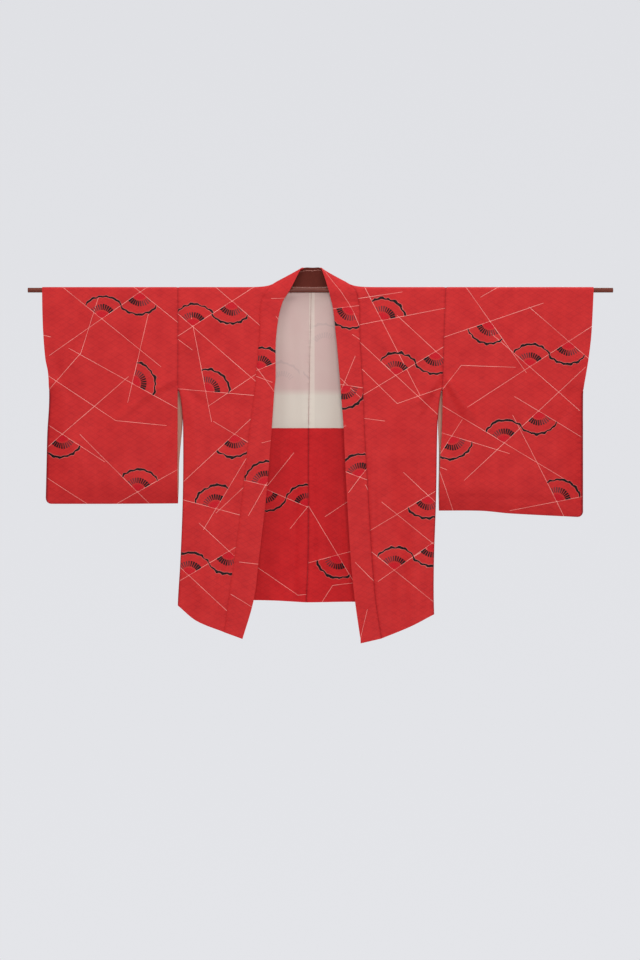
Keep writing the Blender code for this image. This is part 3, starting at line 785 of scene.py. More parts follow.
class Signal:
    """A node's output that can be used in sums and comparisons."""

    def __init__(self, tree: bpy.types.NodeTree, socket: bpy.types.NodeSocket) -> None:
        """Keeps the tree and the socket."""
        self.tree = tree
        self.socket = socket

    def maths(self, operation: str, *values: "Signal | float", clamp: bool = False) -> "Signal":
        """A Math node.

        Args:
            operation: The node's operation.
            values: A Signal or number for each of its inputs.
            clamp: Whether the result is held between 0 and 1.

        Returns:
            The node's output.
        """
        node = self.tree.nodes.new("ShaderNodeMath")
        node.operation = operation
        node.use_clamp = clamp
        for slot, value in zip(node.inputs, values):
            Signal.feed(slot, value)
        return Signal(self.tree, node.outputs[0])

    @staticmethod
    def feed(slot: bpy.types.NodeSocket, value: object) -> None:
        """Links a node's input to a Signal, or sets it to a number or tuple.

        Args:
            slot: The input.
            value: What it gets.
        """
        if isinstance(value, Signal):
            value.tree.links.new(value.socket, slot)
        else:
            slot.default_value = value

    def first(self, operation: str, *others: "Signal | float") -> "Signal":
        """A Math node with this signal as its first input."""
        return self.maths(operation, self, *others)

    def __rsub__(self, other: float) -> "Signal":
        """Difference from a number."""
        return self.maths("SUBTRACT", other, self)

    def clamped(self) -> "Signal":
        """Held between 0 and 1."""
        return self.maths("ADD", self, 0.0, clamp=True)

    __add__ = partialmethod(first, "ADD")
    __sub__ = partialmethod(first, "SUBTRACT")
    __mul__ = partialmethod(first, "MULTIPLY")
    __truediv__ = partialmethod(first, "DIVIDE")
    __lt__ = partialmethod(first, "LESS_THAN")
    __gt__ = partialmethod(first, "GREATER_THAN")
    __abs__ = partialmethod(first, "ABSOLUTE")
    sine = partialmethod(first, "SINE")
    cosine = partialmethod(first, "COSINE")
    angle_from = partialmethod(first, "ARCTAN2")
    fraction = partialmethod(first, "FRACT")
    exponential = partialmethod(first, "EXPONENT")
    root = partialmethod(first, "SQRT")
    largest = partialmethod(first, "MAXIMUM")


class Board:
    """A node tree being wired: short calls for the nodes that the finishes use."""

    def __init__(self, tree: bpy.types.NodeTree) -> None:
        """Keeps the tree."""
        self.tree = tree

    def node(self, kind: str, output: "int | str" = 0, **inputs: object) -> Signal:
        """Places a node.

        Args:
            kind: Its type, without ShaderNode.
            output: The output that is wanted.
            inputs: A Signal, number or tuple for each input, by its name.

        Returns:
            That output.
        """
        node = self.tree.nodes.new("ShaderNode" + kind)
        for name, value in inputs.items():
            Signal.feed(node.inputs[name], value)
        return Signal(self.tree, node.outputs[output])

    def uv(self, layer: str) -> Signal:
        """A UV map of the piece."""
        place = self.node("UVMap")
        place.socket.node.uv_map = layer
        return place

    def parts(self, place: Signal) -> tuple:
        """X, Y and Z of a vector."""
        node = self.node("SeparateXYZ", Vector=place).socket.node
        return tuple(Signal(self.tree, socket) for socket in node.outputs)

    def noise(self, place: Signal, scale: float, detail: float = 2.0) -> Signal:
        """Soft noise between 0 and 1, with so many features for each metre."""
        return self.node("TexNoise", "Fac", Vector=place, Scale=scale, Detail=detail)

    def mix(self, share: Signal, first: "Signal | tuple", second: "Signal | tuple") -> Signal:
        """Blends one colour into another.

        Args:
            share: 0 for the first colour, 1 for the second.
            first: A Signal, or red, green and blue.
            second: The same.

        Returns:
            The blended colour.
        """
        node = self.tree.nodes.new("ShaderNodeMix")
        node.data_type = "RGBA"
        Signal.feed(node.inputs[0], share)
        for slot, colour in ((node.inputs[6], first), (node.inputs[7], second)):
            Signal.feed(slot, colour if isinstance(colour, Signal) else (*colour, 1.0))
        return Signal(self.tree, node.outputs[2])

    def group(self, group: bpy.types.NodeTree, **values: object) -> dict:
        """A node group placed here.

        Args:
            group: The shared group.
            values: A Signal, number or tuple for each input, by its name.

        Returns:
            The group's outputs by name.
        """
        node = self.tree.nodes.new("ShaderNodeGroup")
        node.node_tree = group
        for name, value in values.items():
            Signal.feed(node.inputs[name], value)
        return {socket.name: Signal(self.tree, socket) for socket in node.outputs}


class SharedGroup:
    """A shader node group with named sockets, built once and placed in many materials."""

    NAME = "shared"
    INPUTS: dict = {}
    OUTPUTS: tuple = ()
    KINDS = {"vector": "NodeSocketVector", "value": "NodeSocketFloat"}

    def __init__(self) -> None:
        """Makes the sockets and wires the group."""
        self.tree = bpy.data.node_groups.new(self.NAME, "ShaderNodeTree")
        for name, kind in self.INPUTS.items():
            self.tree.interface.new_socket(name, in_out="INPUT", socket_type=self.KINDS[kind])
        for name in self.OUTPUTS:
            self.tree.interface.new_socket(name, in_out="OUTPUT", socket_type=self.KINDS["value"])
        entry = self.tree.nodes.new("NodeGroupInput")
        leave = self.tree.nodes.new("NodeGroupOutput")
        inputs = {socket.name: Signal(self.tree, socket) for socket in entry.outputs if socket.name}
        for name, signal in self.wire(Board(self.tree), inputs).items():
            self.tree.links.new(signal.socket, leave.inputs[name])

    def wire(self, board: Board, inputs: dict) -> dict:
        """Builds the nodes.

        Args:
            board: The board of the group's tree.
            inputs: A Signal for each input, by name.

        Returns:
            A Signal for each output, by name.
        """
        raise NotImplementedError


class FanPrint(SharedGroup):
    """A folding fan in polar form about its pivot: scalloped rim, short ribs and a dotted heart."""

    NAME = "fan_print"
    INPUTS = {"Place": "vector", "Cloth": "vector"}
    OUTPUTS = ("Ink", "Ribs", "Heart", "Dots", "Pale")
    REACH = 58 * MM
    SPREAD = math.radians(53)
    PAIRED = 107 * MM
    LOBES = 6
    BARS = 10
    BRUSHES = 48.0
    RIM = 47.0 * MM
    RIM_LOBE = 1.7 * MM
    RIM_WANDER = 8.0 * MM
    RIM_LEAN = -2.8 * MM
    INK_LOBE = 0.5 * MM
    INK_WANDER = 4.4 * MM
    INK_TAPER = 0.8 * MM
    HALO = 0.8 * MM
    BAND_FROM = 20.5 * MM
    BAND_TO = 31.0 * MM
    BAND_WANDER = 4.0 * MM
    DOTS_PER_METRE = 1700.0
    SIDE_LINE = 0.5 * MM
    HEART_FROM = 3.0 * MM
    HEART_TO = 17.0 * MM
    BAR_WANDER = 0.16
    BAR_LEAN = 0.13
    BAR_WIDTH = 0.23
    DARK_LEAN = -2.4
    DARK_WANDER = 1.6
    DARK_LEAST = 0.1
    DOT_FROM = 0.25
    HALO_SHOWS = 0.35

    def wire(self, board: Board, inputs: dict) -> dict:
        """Builds the fan's masks.

        Args:
            board: The board of the group's tree.
            inputs: A Signal for each input, by name.

        Returns:
            A Signal for each output, by name.
        """
        aside, along, _ = board.parts(inputs["Place"])
        radius = (aside * aside + along * along).root()
        angle = aside.angle_from(along)
        side = angle / self.SPREAD
        inside = abs(side) < 1.0
        lobe = ((side + 1.0) * (self.LOBES * math.pi)).cosine() * -0.5 + 0.5
        brush = board.noise(inputs["Cloth"], self.BRUSHES)
        rim = lobe * self.RIM_LOBE + brush * self.RIM_WANDER + side * self.RIM_LEAN + self.RIM
        from_rim = abs(radius - rim)
        thick = lobe * self.INK_LOBE + brush * self.INK_WANDER - side * side * self.INK_TAPER
        ink = (from_rim < thick) * inside
        halo = (from_rim < thick + self.HALO) * inside
        band = (radius > self.BAND_FROM) * (radius < brush * self.BAND_WANDER + self.BAND_TO) * inside
        reach = brush * self.BAR_WANDER - side * self.BAR_LEAN + self.BAR_WIDTH
        bar = abs((side * (self.BARS / 2)).fraction() - 0.5) < reach
        dark = (side * self.DARK_LEAN + brush * self.DARK_WANDER + self.DARK_LEAST).clamped()
        rows, columns = (aside * self.DOTS_PER_METRE).sine(), (along * self.DOTS_PER_METRE).sine()
        dots = rows * columns > self.DOT_FROM
        edge = abs((abs(angle) - self.SPREAD).sine() * radius) < self.SIDE_LINE
        edge = edge * (radius < self.REACH) * (along > 0.0)
        heart = (radius < self.HEART_TO) * (radius > self.HEART_FROM) * inside
        return {
            "Ink": ink.largest(band * bar * dark),
            "Ribs": band * bar,
            "Heart": heart,
            "Dots": heart * dots,
            "Pale": edge.largest((halo - ink) * self.HALO_SHOWS),
        }


class LinePrint(SharedGroup):
    """One thin printed line between two points of the flat cloth."""

    NAME = "line_print"
    INPUTS = {"Place": "vector", "Start": "vector", "End": "vector"}
    OUTPUTS = ("Mask",)
    HALF_WIDTH = 0.4 * MM

    def wire(self, board: Board, inputs: dict) -> dict:
        """Builds the line's mask from the distance to the run.

        Args:
            board: The board of the group's tree.
            inputs: A Signal for each input, by name.

        Returns:
            A Signal for each output, by name.
        """
        px, py, _ = board.parts(inputs["Place"])
        ax, ay, _ = board.parts(inputs["Start"])
        bx, by, _ = board.parts(inputs["End"])
        run_x, run_y, away_x, away_y = bx - ax, by - ay, px - ax, py - ay
        share = (away_x * run_x + away_y * run_y) / (run_x * run_x + run_y * run_y)
        share = share.clamped()
        off_x, off_y = away_x - run_x * share, away_y - run_y * share
        squared = off_x * off_x + off_y * off_y
        return {"Mask": squared < self.HALF_WIDTH**2}


class FiguredWeave(SharedGroup):
    """Tone on tone lozenge figure over a fine crepe weave."""

    NAME = "figured_weave"
    INPUTS = {"Place": "vector"}
    OUTPUTS = ("Figure", "Height", "Mottle")
    PITCH = 11.5 * MM
    SLOPE = math.radians(31)
    LINE = 0.09
    THREADS = 9000.0
    THREAD_HEIGHT = 0.012 * MM
    CREPE = 1300.0
    CREPE_HEIGHT = 0.16 * MM
    FIGURE_HEIGHT = 0.05 * MM
    LINE_SHOWS = 0.75
    FADES = 48.0
    FADE_CONTRAST = 1.6
    FADE_FROM = 0.1
    MOTTLES = 26.0

    def wire(self, board: Board, inputs: dict) -> dict:
        """Builds the lozenge lines, the threads and the slow mottle.

        Args:
            board: The board of the group's tree.
            inputs: A Signal for each input, by name.

        Returns:
            A Signal for each output, by name.
        """
        place = inputs["Place"]
        across, fall, _ = board.parts(place)
        lean = across * (math.sin(self.SLOPE) / self.PITCH)
        rise = fall * (math.cos(self.SLOPE) / self.PITCH)
        one, other = lean + rise, lean - rise
        line = (abs(one.fraction() - 0.5) < self.LINE).largest(abs(other.fraction() - 0.5) < self.LINE)
        cell = ((one * math.pi).sine() * (other * math.pi).sine()) > 0.0
        shows = board.noise(place, self.FADES, 3.0) * self.FADE_CONTRAST - self.FADE_FROM
        figure = (line * self.LINE_SHOWS + cell * (1 - self.LINE_SHOWS)) * shows
        threads = (across * self.THREADS).sine() + (fall * self.THREADS).sine()
        crepe = board.noise(place, self.CREPE)
        height = threads * self.THREAD_HEIGHT + crepe * self.CREPE_HEIGHT + figure * self.FIGURE_HEIGHT
        mottle = board.noise(place, self.MOTTLES, 4.0)
        return {"Figure": figure, "Height": height, "Mottle": mottle}


class SeamPuckers(SharedGroup):
    """Small gathers beside a seam, and a painted shade line along it."""

    NAME = "seam_puckers"
    INPUTS = {"Seam": "vector", "Depth": "value"}
    OUTPUTS = ("Height", "Shade")
    REACH = 7.0 * MM
    SHADE_REACH = 1.4 * MM
    LONG_WAVE = 17 * MM
    SHORT_WAVE = 7 * MM
    SHORT_HEIGHT = 0.4
    SHIFTS = 40.0
    MOST_SHIFT = 6.0

    def wire(self, board: Board, inputs: dict) -> dict:
        """Builds the gathers from the distance to the seam and the place along it.

        Args:
            board: The board of the group's tree.
            inputs: A Signal for each input, by name.

        Returns:
            A Signal for each output, by name.
        """
        distance, along, _ = board.parts(inputs["Seam"])
        near = (distance / -self.REACH).exponential()
        shift = board.noise(inputs["Seam"], self.SHIFTS) * self.MOST_SHIFT
        long_waves = (along * (2 * math.pi / self.LONG_WAVE) + shift).sine()
        waves = long_waves + (along * (2 * math.pi / self.SHORT_WAVE)).sine() * self.SHORT_HEIGHT
        return {
            "Height": waves * near * inputs["Depth"],
            "Shade": (distance / -self.SHADE_REACH).exponential(),
        }


class Groups:
    """The shared node groups, made once."""

    def __init__(self) -> None:
        """Builds each group."""
        self.fan = FanPrint().tree
        self.line = LinePrint().tree
        self.weave = FiguredWeave().tree
        self.puckers = SeamPuckers().tree


@dataclass(frozen=True)
class Finish:
    """What every material has: its roughness and sheen."""

    roughness: float
    sheen: float
    specular: float
    sheen_roughness: float = 0.4
    rougher: float = 0.1

    def start(self, name: str) -> tuple:
        """A new material's board and its Principled node.

        Args:
            name: The material's name.

        Returns:
            The material, its board and its shader.
        """
        material = bpy.data.materials.new(name)
        material.use_nodes = True
        shader = material.node_tree.nodes["Principled BSDF"]
        shader.inputs["Sheen Weight"].default_value = self.sheen
        shader.inputs["Sheen Roughness"].default_value = self.sheen_roughness
        shader.inputs["Specular IOR Level"].default_value = self.specular
        shader.inputs["Roughness"].default_value = self.roughness
        return material, Board(material.node_tree), shader

    @staticmethod
    def fans(board: Board, groups: Groups, cloth: Signal) -> dict:
        """The masks of the fans and of their partners, taken together.

        Args:
            board: The material's board.
            groups: The shared node groups.
            cloth: Places on the flat cloth.

        Returns:
            One mask for each part of a fan, by its name.
        """
        fan, partner = (
            board.group(groups.fan, Place=board.uv(layer), Cloth=cloth) for layer in ("fan_a", "fan_b")
        )
        return {part: fan[part].largest(partner[part]) for part in FanPrint.OUTPUTS}

    @staticmethod
    def finish(board: Board, shader: bpy.types.Node, colour: Signal, rough: Signal, height: Signal) -> None:
        """Links the shader's inputs.

        Args:
            board: The material's board.
            shader: Its Principled node.
            colour: The colour.
            rough: The roughness.
            height: The relief, in metres.
        """
        bump = board.node("Bump", Strength=1.0, Distance=1.0, Height=height)
        for name, signal in (("Base Color", colour), ("Roughness", rough), ("Normal", bump)):
            Signal.feed(shader.inputs[name], signal)


@dataclass(frozen=True)
class PrintedSilk(Finish):
    """Red figured silk with the thin crossing lines and the fans."""

    red: tuple = (0.60, 0.021, 0.021)
    deep: tuple = (0.44, 0.010, 0.014)
    pale: tuple = (0.98, 0.46, 0.40)
    heart: tuple = (0.64, 0.005, 0.016)
    dots: tuple = (0.28, 0.0, 0.008)
    grey: tuple = (0.10, 0.026, 0.03)
    ink: tuple = (0.004, 0.002, 0.003)
    # Colour of the painted shade along the seams
    seam: tuple = (0.26, 0.004, 0.008)
    pucker: float = 0.35 * MM
    figure_shows: float = 0.5
    mottle_shows: float = 1.2
    deep_from: float = 0.42
    wears: float = 14.0
    wear: float = 1.3
    wear_least: float = 0.05
    dots_show: float = 0.8
    seam_shade_shows: float = 0.75
    rougher: float = 0.12
    figure_smoother: float = 0.07

    def material(self, name: str, groups: Groups, strokes: list) -> bpy.types.Material:
        """The material of one piece.

        Args:
            name: The material's name.
            groups: The shared node groups.
            strokes: The printed lines on this piece.

        Returns:
            The material.
        """
        material, board, shader = self.start(name)
        cloth = board.uv("cloth")
        weave = board.group(groups.weave, Place=cloth)
        seam = board.group(groups.puckers, Seam=board.uv("seam"), Depth=self.pucker)
        tone = weave["Figure"] * self.figure_shows + weave["Mottle"] * self.mottle_shows - self.deep_from
        colour = board.mix(tone.clamped(), self.red, self.deep)
        fans = self.fans(board, groups, cloth)
        pale = fans["Pale"]
        for start, end in strokes:
            ends = {"Start": (*start, 0), "End": (*end, 0)}
            pale = pale.largest(board.group(groups.line, Place=cloth, **ends)["Mask"])
        worn = (board.noise(cloth, self.wears) * self.wear + self.wear_least).clamped()
        for mask, paint in (
            (pale * worn, self.pale),
            (fans["Heart"], self.heart),
            (fans["Dots"] * self.dots_show, self.dots),
            (fans["Ribs"], self.grey),
            (fans["Ink"], self.ink),
        ):
            colour = board.mix(mask, colour, paint)
        # Painted shade along the seams
        colour = board.mix(seam["Shade"] * self.seam_shade_shows, colour, self.seam)
        rough = weave["Mottle"] * self.rougher - weave["Figure"] * self.figure_smoother + self.roughness
        self.finish(board, shader, colour, rough, weave["Height"] + seam["Height"])
        return material


@dataclass(frozen=True)
class LiningSilk(Finish):
    """Thin cream lining: rosier above, where one red layer lies behind it, with faint ghosts of fans."""

    cream: tuple = (0.68, 0.60, 0.52)
    rosy: tuple = (0.61, 0.42, 0.39)
    ghost: tuple = (0.40, 0.30, 0.30)
    allowance: tuple = (0.78, 0.70, 0.60)
    rosy_to: float = 254 * MM
    rosy_fade: float = 16 * MM
    allowance_width: float = 12 * MM
    pucker: float = 0.25 * MM
    threads: float = 1500.0
    thread_height: float = 0.05 * MM
    mottles: float = 11.0
    mottle_shows: float = 0.7
    rosy_least: float = 0.55
    ghost_shows: float = 0.3
    allowance_shows: float = 0.45
    seam_shade_shows: float = 0.45
    rougher: float = 0.15

    def material(self, name: str, groups: Groups, centre: float | None) -> bpy.types.Material:
        """The material of one lining.

        Args:
            name: The material's name.
            groups: The shared node groups.
            centre: U of the seam with its allowance behind, or None.

        Returns:
            The material.
        """
        material, board, shader = self.start(name)
        cloth = board.uv("cloth")
        across, fall, _ = board.parts(cloth)
        weave = board.group(groups.weave, Place=cloth)
        seam = board.group(groups.puckers, Seam=board.uv("seam"), Depth=self.pucker)
        low = ((fall - self.rosy_to) / self.rosy_fade + 0.5).clamped()
        mottle = board.noise(cloth, self.mottles, 3.0)
        rosy = (1.0 - low) * (mottle * self.mottle_shows + self.rosy_least)
        colour = board.mix(rosy.clamped(), self.cream, self.rosy)
        fans = self.fans(board, groups, cloth)
        colour = board.mix(fans["Ink"].largest(fans["Ribs"]) * self.ghost_shows, colour, self.ghost)
        if centre is not None:
            half = self.allowance_width / 2
            behind = abs(across - (centre + half)) < half
            colour = board.mix(behind * self.allowance_shows, colour, self.allowance)
        # Painted shade along the lining's seams
        colour = board.mix(seam["Shade"] * self.seam_shade_shows, colour, self.rosy)
        rough = weave["Mottle"] * self.rougher + self.roughness
        height = board.noise(cloth, self.threads) * self.thread_height + seam["Height"]
        self.finish(board, shader, colour, rough, height)
        return material


@dataclass(frozen=True)
class DarkStandInside(Finish):
    """Dark brown sheet inside the collar's stand, with a dashed pale line near each edge."""

    brown: tuple = (0.085, 0.011, 0.006)
    worn: tuple = (0.115, 0.019, 0.011)
    thread: tuple = (0.72, 0.33, 0.27)
    low_line: float = 2.6 * MM
    high_line: float = 38 * MM
    line_reach: float = 0.9 * MM
    stitch: float = 4 * MM
    stitched_share: float = 0.8
    ribs: float = 5200.0
    rib_height: float = 0.02 * MM
    thread_sinks: float = 0.2 * MM
    thread_shows: float = 0.8
    mottles: float = 60.0
    mottle_height: float = 0.1 * MM
    wear: float = 1.2
    wear_from: float = 0.2
    rib_shows: float = 0.1

    def material(self, name: str) -> bpy.types.Material:
        """The material of the stand's inside.

        Args:
            name: The material's name.

        Returns:
            The material.
        """
        material, board, shader = self.start(name)
        cloth = board.uv("cloth")
        across, along, _ = board.parts(cloth)
        twill = ((across + along) * self.ribs).sine()
        mottle = board.noise(cloth, self.mottles, 4.0)
        wear = mottle * self.wear - self.wear_from + twill * self.rib_shows
        colour = board.mix(wear.clamped(), self.brown, self.worn)
        low = abs(across - self.low_line) < self.line_reach
        line = low.largest(abs(across - self.high_line) < self.line_reach / 2)
        stitch = (along / self.stitch).fraction() < self.stitched_share
        colour = board.mix(line * stitch * self.thread_shows, colour, self.thread)
        height = twill * self.rib_height + mottle * self.mottle_height - line * self.thread_sinks
        self.finish(board, shader, colour, mottle * self.rougher + self.roughness, height)
        return material


@dataclass(frozen=True)
class OiledWood(Finish):
    """Dark reddish wood with its grain along the rod."""

    dark: tuple = (0.09, 0.016, 0.008)
    light: tuple = (0.20, 0.040, 0.022)
    pore: tuple = (0.05, 0.014, 0.01)
    grain: tuple = (6, 260, 260)
    pores: tuple = (40, 900, 900)
    pore_from: float = 0.66
    pore_shows: float = 0.5
    pore_depth: float = 0.05 * MM
    grain_contrast: float = 2.2
    grain_from: float = 0.6
    grain_height: float = 0.12 * MM
    rougher: float = 0.2

    def material(self, name: str) -> bpy.types.Material:
        """The rod's material.

        Args:
            name: The material's name.

        Returns:
            The material.
        """
        material, board, shader = self.start(name)
        place = board.node("TexCoord", "Object")
        grain = board.noise(board.node("Mapping", Vector=place, Scale=self.grain), 1.0, 6.0)
        pores = board.noise(board.node("Mapping", Vector=place, Scale=self.pores), 1.0) > self.pore_from
        tone = (grain * self.grain_contrast - self.grain_from).clamped()
        colour = board.mix(tone, self.dark, self.light)
        colour = board.mix(pores * self.pore_shows, colour, self.pore)
        height = grain * self.grain_height - pores * self.pore_depth
        self.finish(board, shader, colour, grain * self.rougher + self.roughness, height)
        return material


@dataclass(frozen=True)
class LineLayout:
    """How the thin printed lines run: along the fans' sides, and freely in long bent runs between them."""

    runs_per_metre: float = 7.0
    past_pivot: tuple = (40 * MM, 210 * MM)
    past_rim: tuple = (100 * MM, 250 * MM)
    shortest: float = 110 * MM
    longest: float = 290 * MM
    corners: int = 3
    least_bend: float = 18.0
    most_bend: float = 66.0
    steepest: float = 75.0
    apart: float = 34 * MM
    much_alike: float = 0.88
    tries: int = 60

    def strokes(self, seed: int, fans: tuple, low: Array, high: Array) -> list:
        """The strokes of one piece.

        Args:
            seed: Seed of this piece's layout.
            fans: The fans on the piece, which sit where two lines cross.
            low: Least U and V of the piece, in metres.
            high: Greatest U and V.

        Returns:
            Stroke rows.
        """
        draw = random.Random(seed)
        found = self.along_fans(draw, fans)
        length = high[1] - low[1]
        for index in range(max(round(length * self.runs_per_metre), 2)):
            band = low[1] + length * (index + 0.5) / (self.runs_per_metre * length)
            for _ in range(self.tries):
                line = self.free_line(draw, low, high, band)
                if all(self.is_clear(stroke, found) for stroke in line):
                    found += line
                    break
        return found

    def along_fans(self, draw: random.Random, fans: tuple) -> list:
        """Two lines through each fan's pivot, one of them shared with its partner.

        Args:
            draw: The piece's random draws.
            fans: The fans on the piece.

        Returns:
            Stroke rows.
        """
        found = []
        seconds = partners(fans)
        for fan in (*fans, *seconds):
            pivot = np.array((fan.across, fan.fall)) * MM
            for side in (-1, 1):
                is_shared = side == -fan.partner
                if is_shared and fan in seconds:
                    continue
                angle = math.radians(fan.opens) + side * FanPrint.SPREAD
                way = np.array((math.cos(angle), math.sin(angle)))
                back = draw.uniform(*self.past_pivot)
                on = draw.uniform(*self.past_rim) + (FanPrint.PAIRED if is_shared else 0.0)
                found.append(Stroke(tuple(pivot - way * back), tuple(pivot + way * on)))
        return found

    def free_line(self, draw: random.Random, low: Array, high: Array, band: float) -> list:
        """One long line with a few corners.

        Args:
            draw: The piece's random draws.
            low: Least U and V of the piece, in metres.
            high: Greatest U and V.
            band: V of the middle of the band that it starts in.

        Returns:
            Stroke rows, end to end.
        """
        across = draw.uniform(low[0], high[0])
        spot = np.array((across, band + draw.uniform(-1, 1) * 0.5 / self.runs_per_metre))
        angle = math.radians(draw.uniform(-self.steepest, self.steepest) + draw.choice((0, 180)))
        line = []
        for _ in range(1 + draw.randrange(self.corners + 1)):
            run = draw.uniform(self.shortest, self.longest)
            end = spot + run * np.array((math.cos(angle), math.sin(angle)))
            line.append(Stroke(tuple(spot), tuple(end)))
            spot = end
            angle += math.radians(draw.choice((-1, 1)) * draw.uniform(self.least_bend, self.most_bend))
        return line

    def is_clear(self, stroke: Stroke, others: list) -> bool:
        """Whether a stroke keeps off the others that run much the same way.

        Args:
            stroke: The stroke.
            others: The strokes that are there already.

        Returns:
            False if it would lie beside one of them.
        """
        start, end = np.array(stroke.start), np.array(stroke.end)
        way = (end - start) / np.linalg.norm(end - start)
        for other in others:
            begin, run = np.array(other.start), np.array(other.end) - np.array(other.start)
            if abs(way @ run) < self.much_alike * np.linalg.norm(run):
                continue
            for spot in (start, (start + end) / 2, end):
                share = np.clip((spot - begin) @ run / (run @ run), 0, 1)
                if np.linalg.norm(begin + run * share - spot) < self.apart:
                    return False
        return True


def partners(fans: tuple) -> tuple:
    """The second fan of each pair in a table, so that two fans side by side open opposite ways.

    Args:
        fans: Fan rows.

    Returns:
        A Fan for each row that has a partner.
    """
    found = []
    for fan in fans:
        if fan.partner:
            way = math.radians(fan.opens) - fan.partner * FanPrint.SPREAD
            across = fan.across + FanPrint.PAIRED / MM * math.cos(way)
            fall = fan.fall + FanPrint.PAIRED / MM * math.sin(way)
            found.append(Fan(across, fall, fan.opens + 180, fan.partner))
    return tuple(found)


FANS = {
    "body_panel_left": rows_of(
        Fan,
        (-292, -84, 86, 1), (-262, -232, 48), (-196, -330, -84, -1), (-238, -500, 112), (-300, -652, 84, 1),
        (-240, 140, 80, 1), (-110, 330, -96, -1), (-240, 500, 70), (-150, 640, 84, 1),
    ),
    "body_panel_right": rows_of(
        Fan,
        (140, -70, 64), (172, -196, 84, 1), (246, -470, -96, -1), (168, -640, 88, 1), (70, 120, 96, 1),
        (200, 300, -80), (60, 420, 74, 1), (150, 610, 100, 1),
    ),
    "sleeve_left": rows_of(
        Fan,
        (-500, -66, 88, 1), (-430, -214, 24), (-590, -330, -86, 1), (-418, -462, 82), (-540, 130, 84, 1),
        (-420, 270, -74), (-560, 400, 96, 1),
    ),
    "sleeve_right": rows_of(
        Fan,
        (388, -72, -108), (478, -176, 86, 1), (300, -334, -70), (420, -350, 96, 1), (540, -484, 64),
        (500, 140, 84, 1), (360, 290, -104), (440, 410, 76, 1),
    ),
    "collar_band": rows_of(
        Fan,
        (50, -560, 120), (4, -300, 76, 1), (20, 150, 60), (44, 330, 118), (16, 540, -78, -1),
    ),
    "back_facing_left": rows_of(Fan, (-128, 476, 76, 1)),
    "back_facing_right": rows_of(Fan, (40, 628, 112)),
    "back_lining_left": rows_of(Fan, (-88, 238, -86, -1)),
    "back_lining_right": rows_of(Fan, (10, 150, -96, -1)),
}

SEEDS = {
    "body_panel_left": 11,
    "body_panel_right": 23,
    "sleeve_left": 5,
    "sleeve_right": 17,
    "collar_band": 8,
    "side_gusset_left": 3,
    "side_gusset_right": 4,
    "back_facing_left": 31,
    "back_facing_right": 42,
}


class Dresser:
    def __init__(self) -> None:
        """Makes the node groups and finishes."""
        self.groups = Groups()
        self.layout = LineLayout()
        self.silk = PrintedSilk(roughness=0.6, sheen=0.04, specular=0.2)
        # Painted light: the same red silk, more saturated, for the red light that bounces inside the shaded
        # back hem
        self.silk_painted_red_bounce = PrintedSilk(
            roughness=0.6, sheen=0.03, specular=0.15, red=(0.60, 0.013, 0.016), deep=(0.44, 0.006, 0.011)
        )
        self.lining = LiningSilk(roughness=0.5, sheen=0.04, specular=0.25)
        # Painted light: a lighter, redder copy of the cream lining for the slit strip, making up for the
        # shade in the narrow slit
        self.strip = LiningSilk(roughness=0.55, sheen=0.04, specular=0.2, cream=(0.80, 0.40, 0.30))
        # Dark brown for the inside of the collar's stand
        self.facing = DarkStandInside(roughness=0.7, sheen=0.03, specular=0.15)
        self.wood = OiledWood(roughness=0.42, sheen=0.0, specular=0.3)

    def print_silk(self, piece: bpy.types.Object, node: str, cut: "Cut", flat: Array) -> None:
        """Args:
            piece: The piece.
            node: The node that it stands for.
            cut: Its flat size.
            flat: Its UV places, for the layout's reach.
        """
        low, high = flat.reshape(-1, 2).min(axis=0), flat.reshape(-1, 2).max(axis=0)
        strokes = self.layout.strokes(SEEDS[node], FANS.get(node, ()), low, high)
        # The back facings get the copy with painted red bounce light
        silk = self.silk_painted_red_bounce if node.startswith("back_facing") else self.silk
        self.dress(piece, silk.material("printed_silk_" + node, self.groups, strokes), node, Slot.SILK, cut)

    @staticmethod
    def dress(
        piece: bpy.types.Object, material: bpy.types.Material, node: str, slot: Slot, cut: "Cut | None" = None
    ) -> None:
        """Args:
            piece: The piece.
            material: Its material.
            node: The node that it replaces.
            slot: The record's material slot; not used.
            cut: Its flat size, for cloth; not used.
        """
        piece.data.materials.clear()
        piece.data.materials.append(material)
        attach(piece, "root")
        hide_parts(node)


@dataclass(frozen=True)
class Cut:
    """The flat size a piece was cut to, as it shows, in metres and square metres."""

    width: float
    length: float
    area: float


@dataclass
class Rod:
    """The straight wooden rod through both sleeves."""

    dresser: Dresser
    sides: int = 64
    bevel: float = 0.6 * MM
    smooth_angle: float = math.radians(35)

    def build(self) -> list:
        """Models the rod from its node's box.

        Returns:
            The one piece.
        """
        Builder.deselect()
        bpy.ops.mesh.primitive_cylinder_add(
            vertices=self.sides,
            radius=ROD_RADIUS,
            depth=ROD_HIGH.x - ROD_LOW.x,
            location=(0, 0, 0),
            rotation=(0, math.pi / 2, 0),
        )
        rod = bpy.context.object
        rod.name = rod.data.name = "rod"
        bpy.ops.object.transform_apply(location=True, rotation=True, scale=True)
        Builder.round_edges(rod, self.bevel)
        bpy.ops.object.shade_smooth_by_angle(angle=self.smooth_angle)
        self.dresser.dress(rod, self.dresser.wood.material("oiled_wood"), "hanging_rod", Slot.WOOD)
        return [rod]


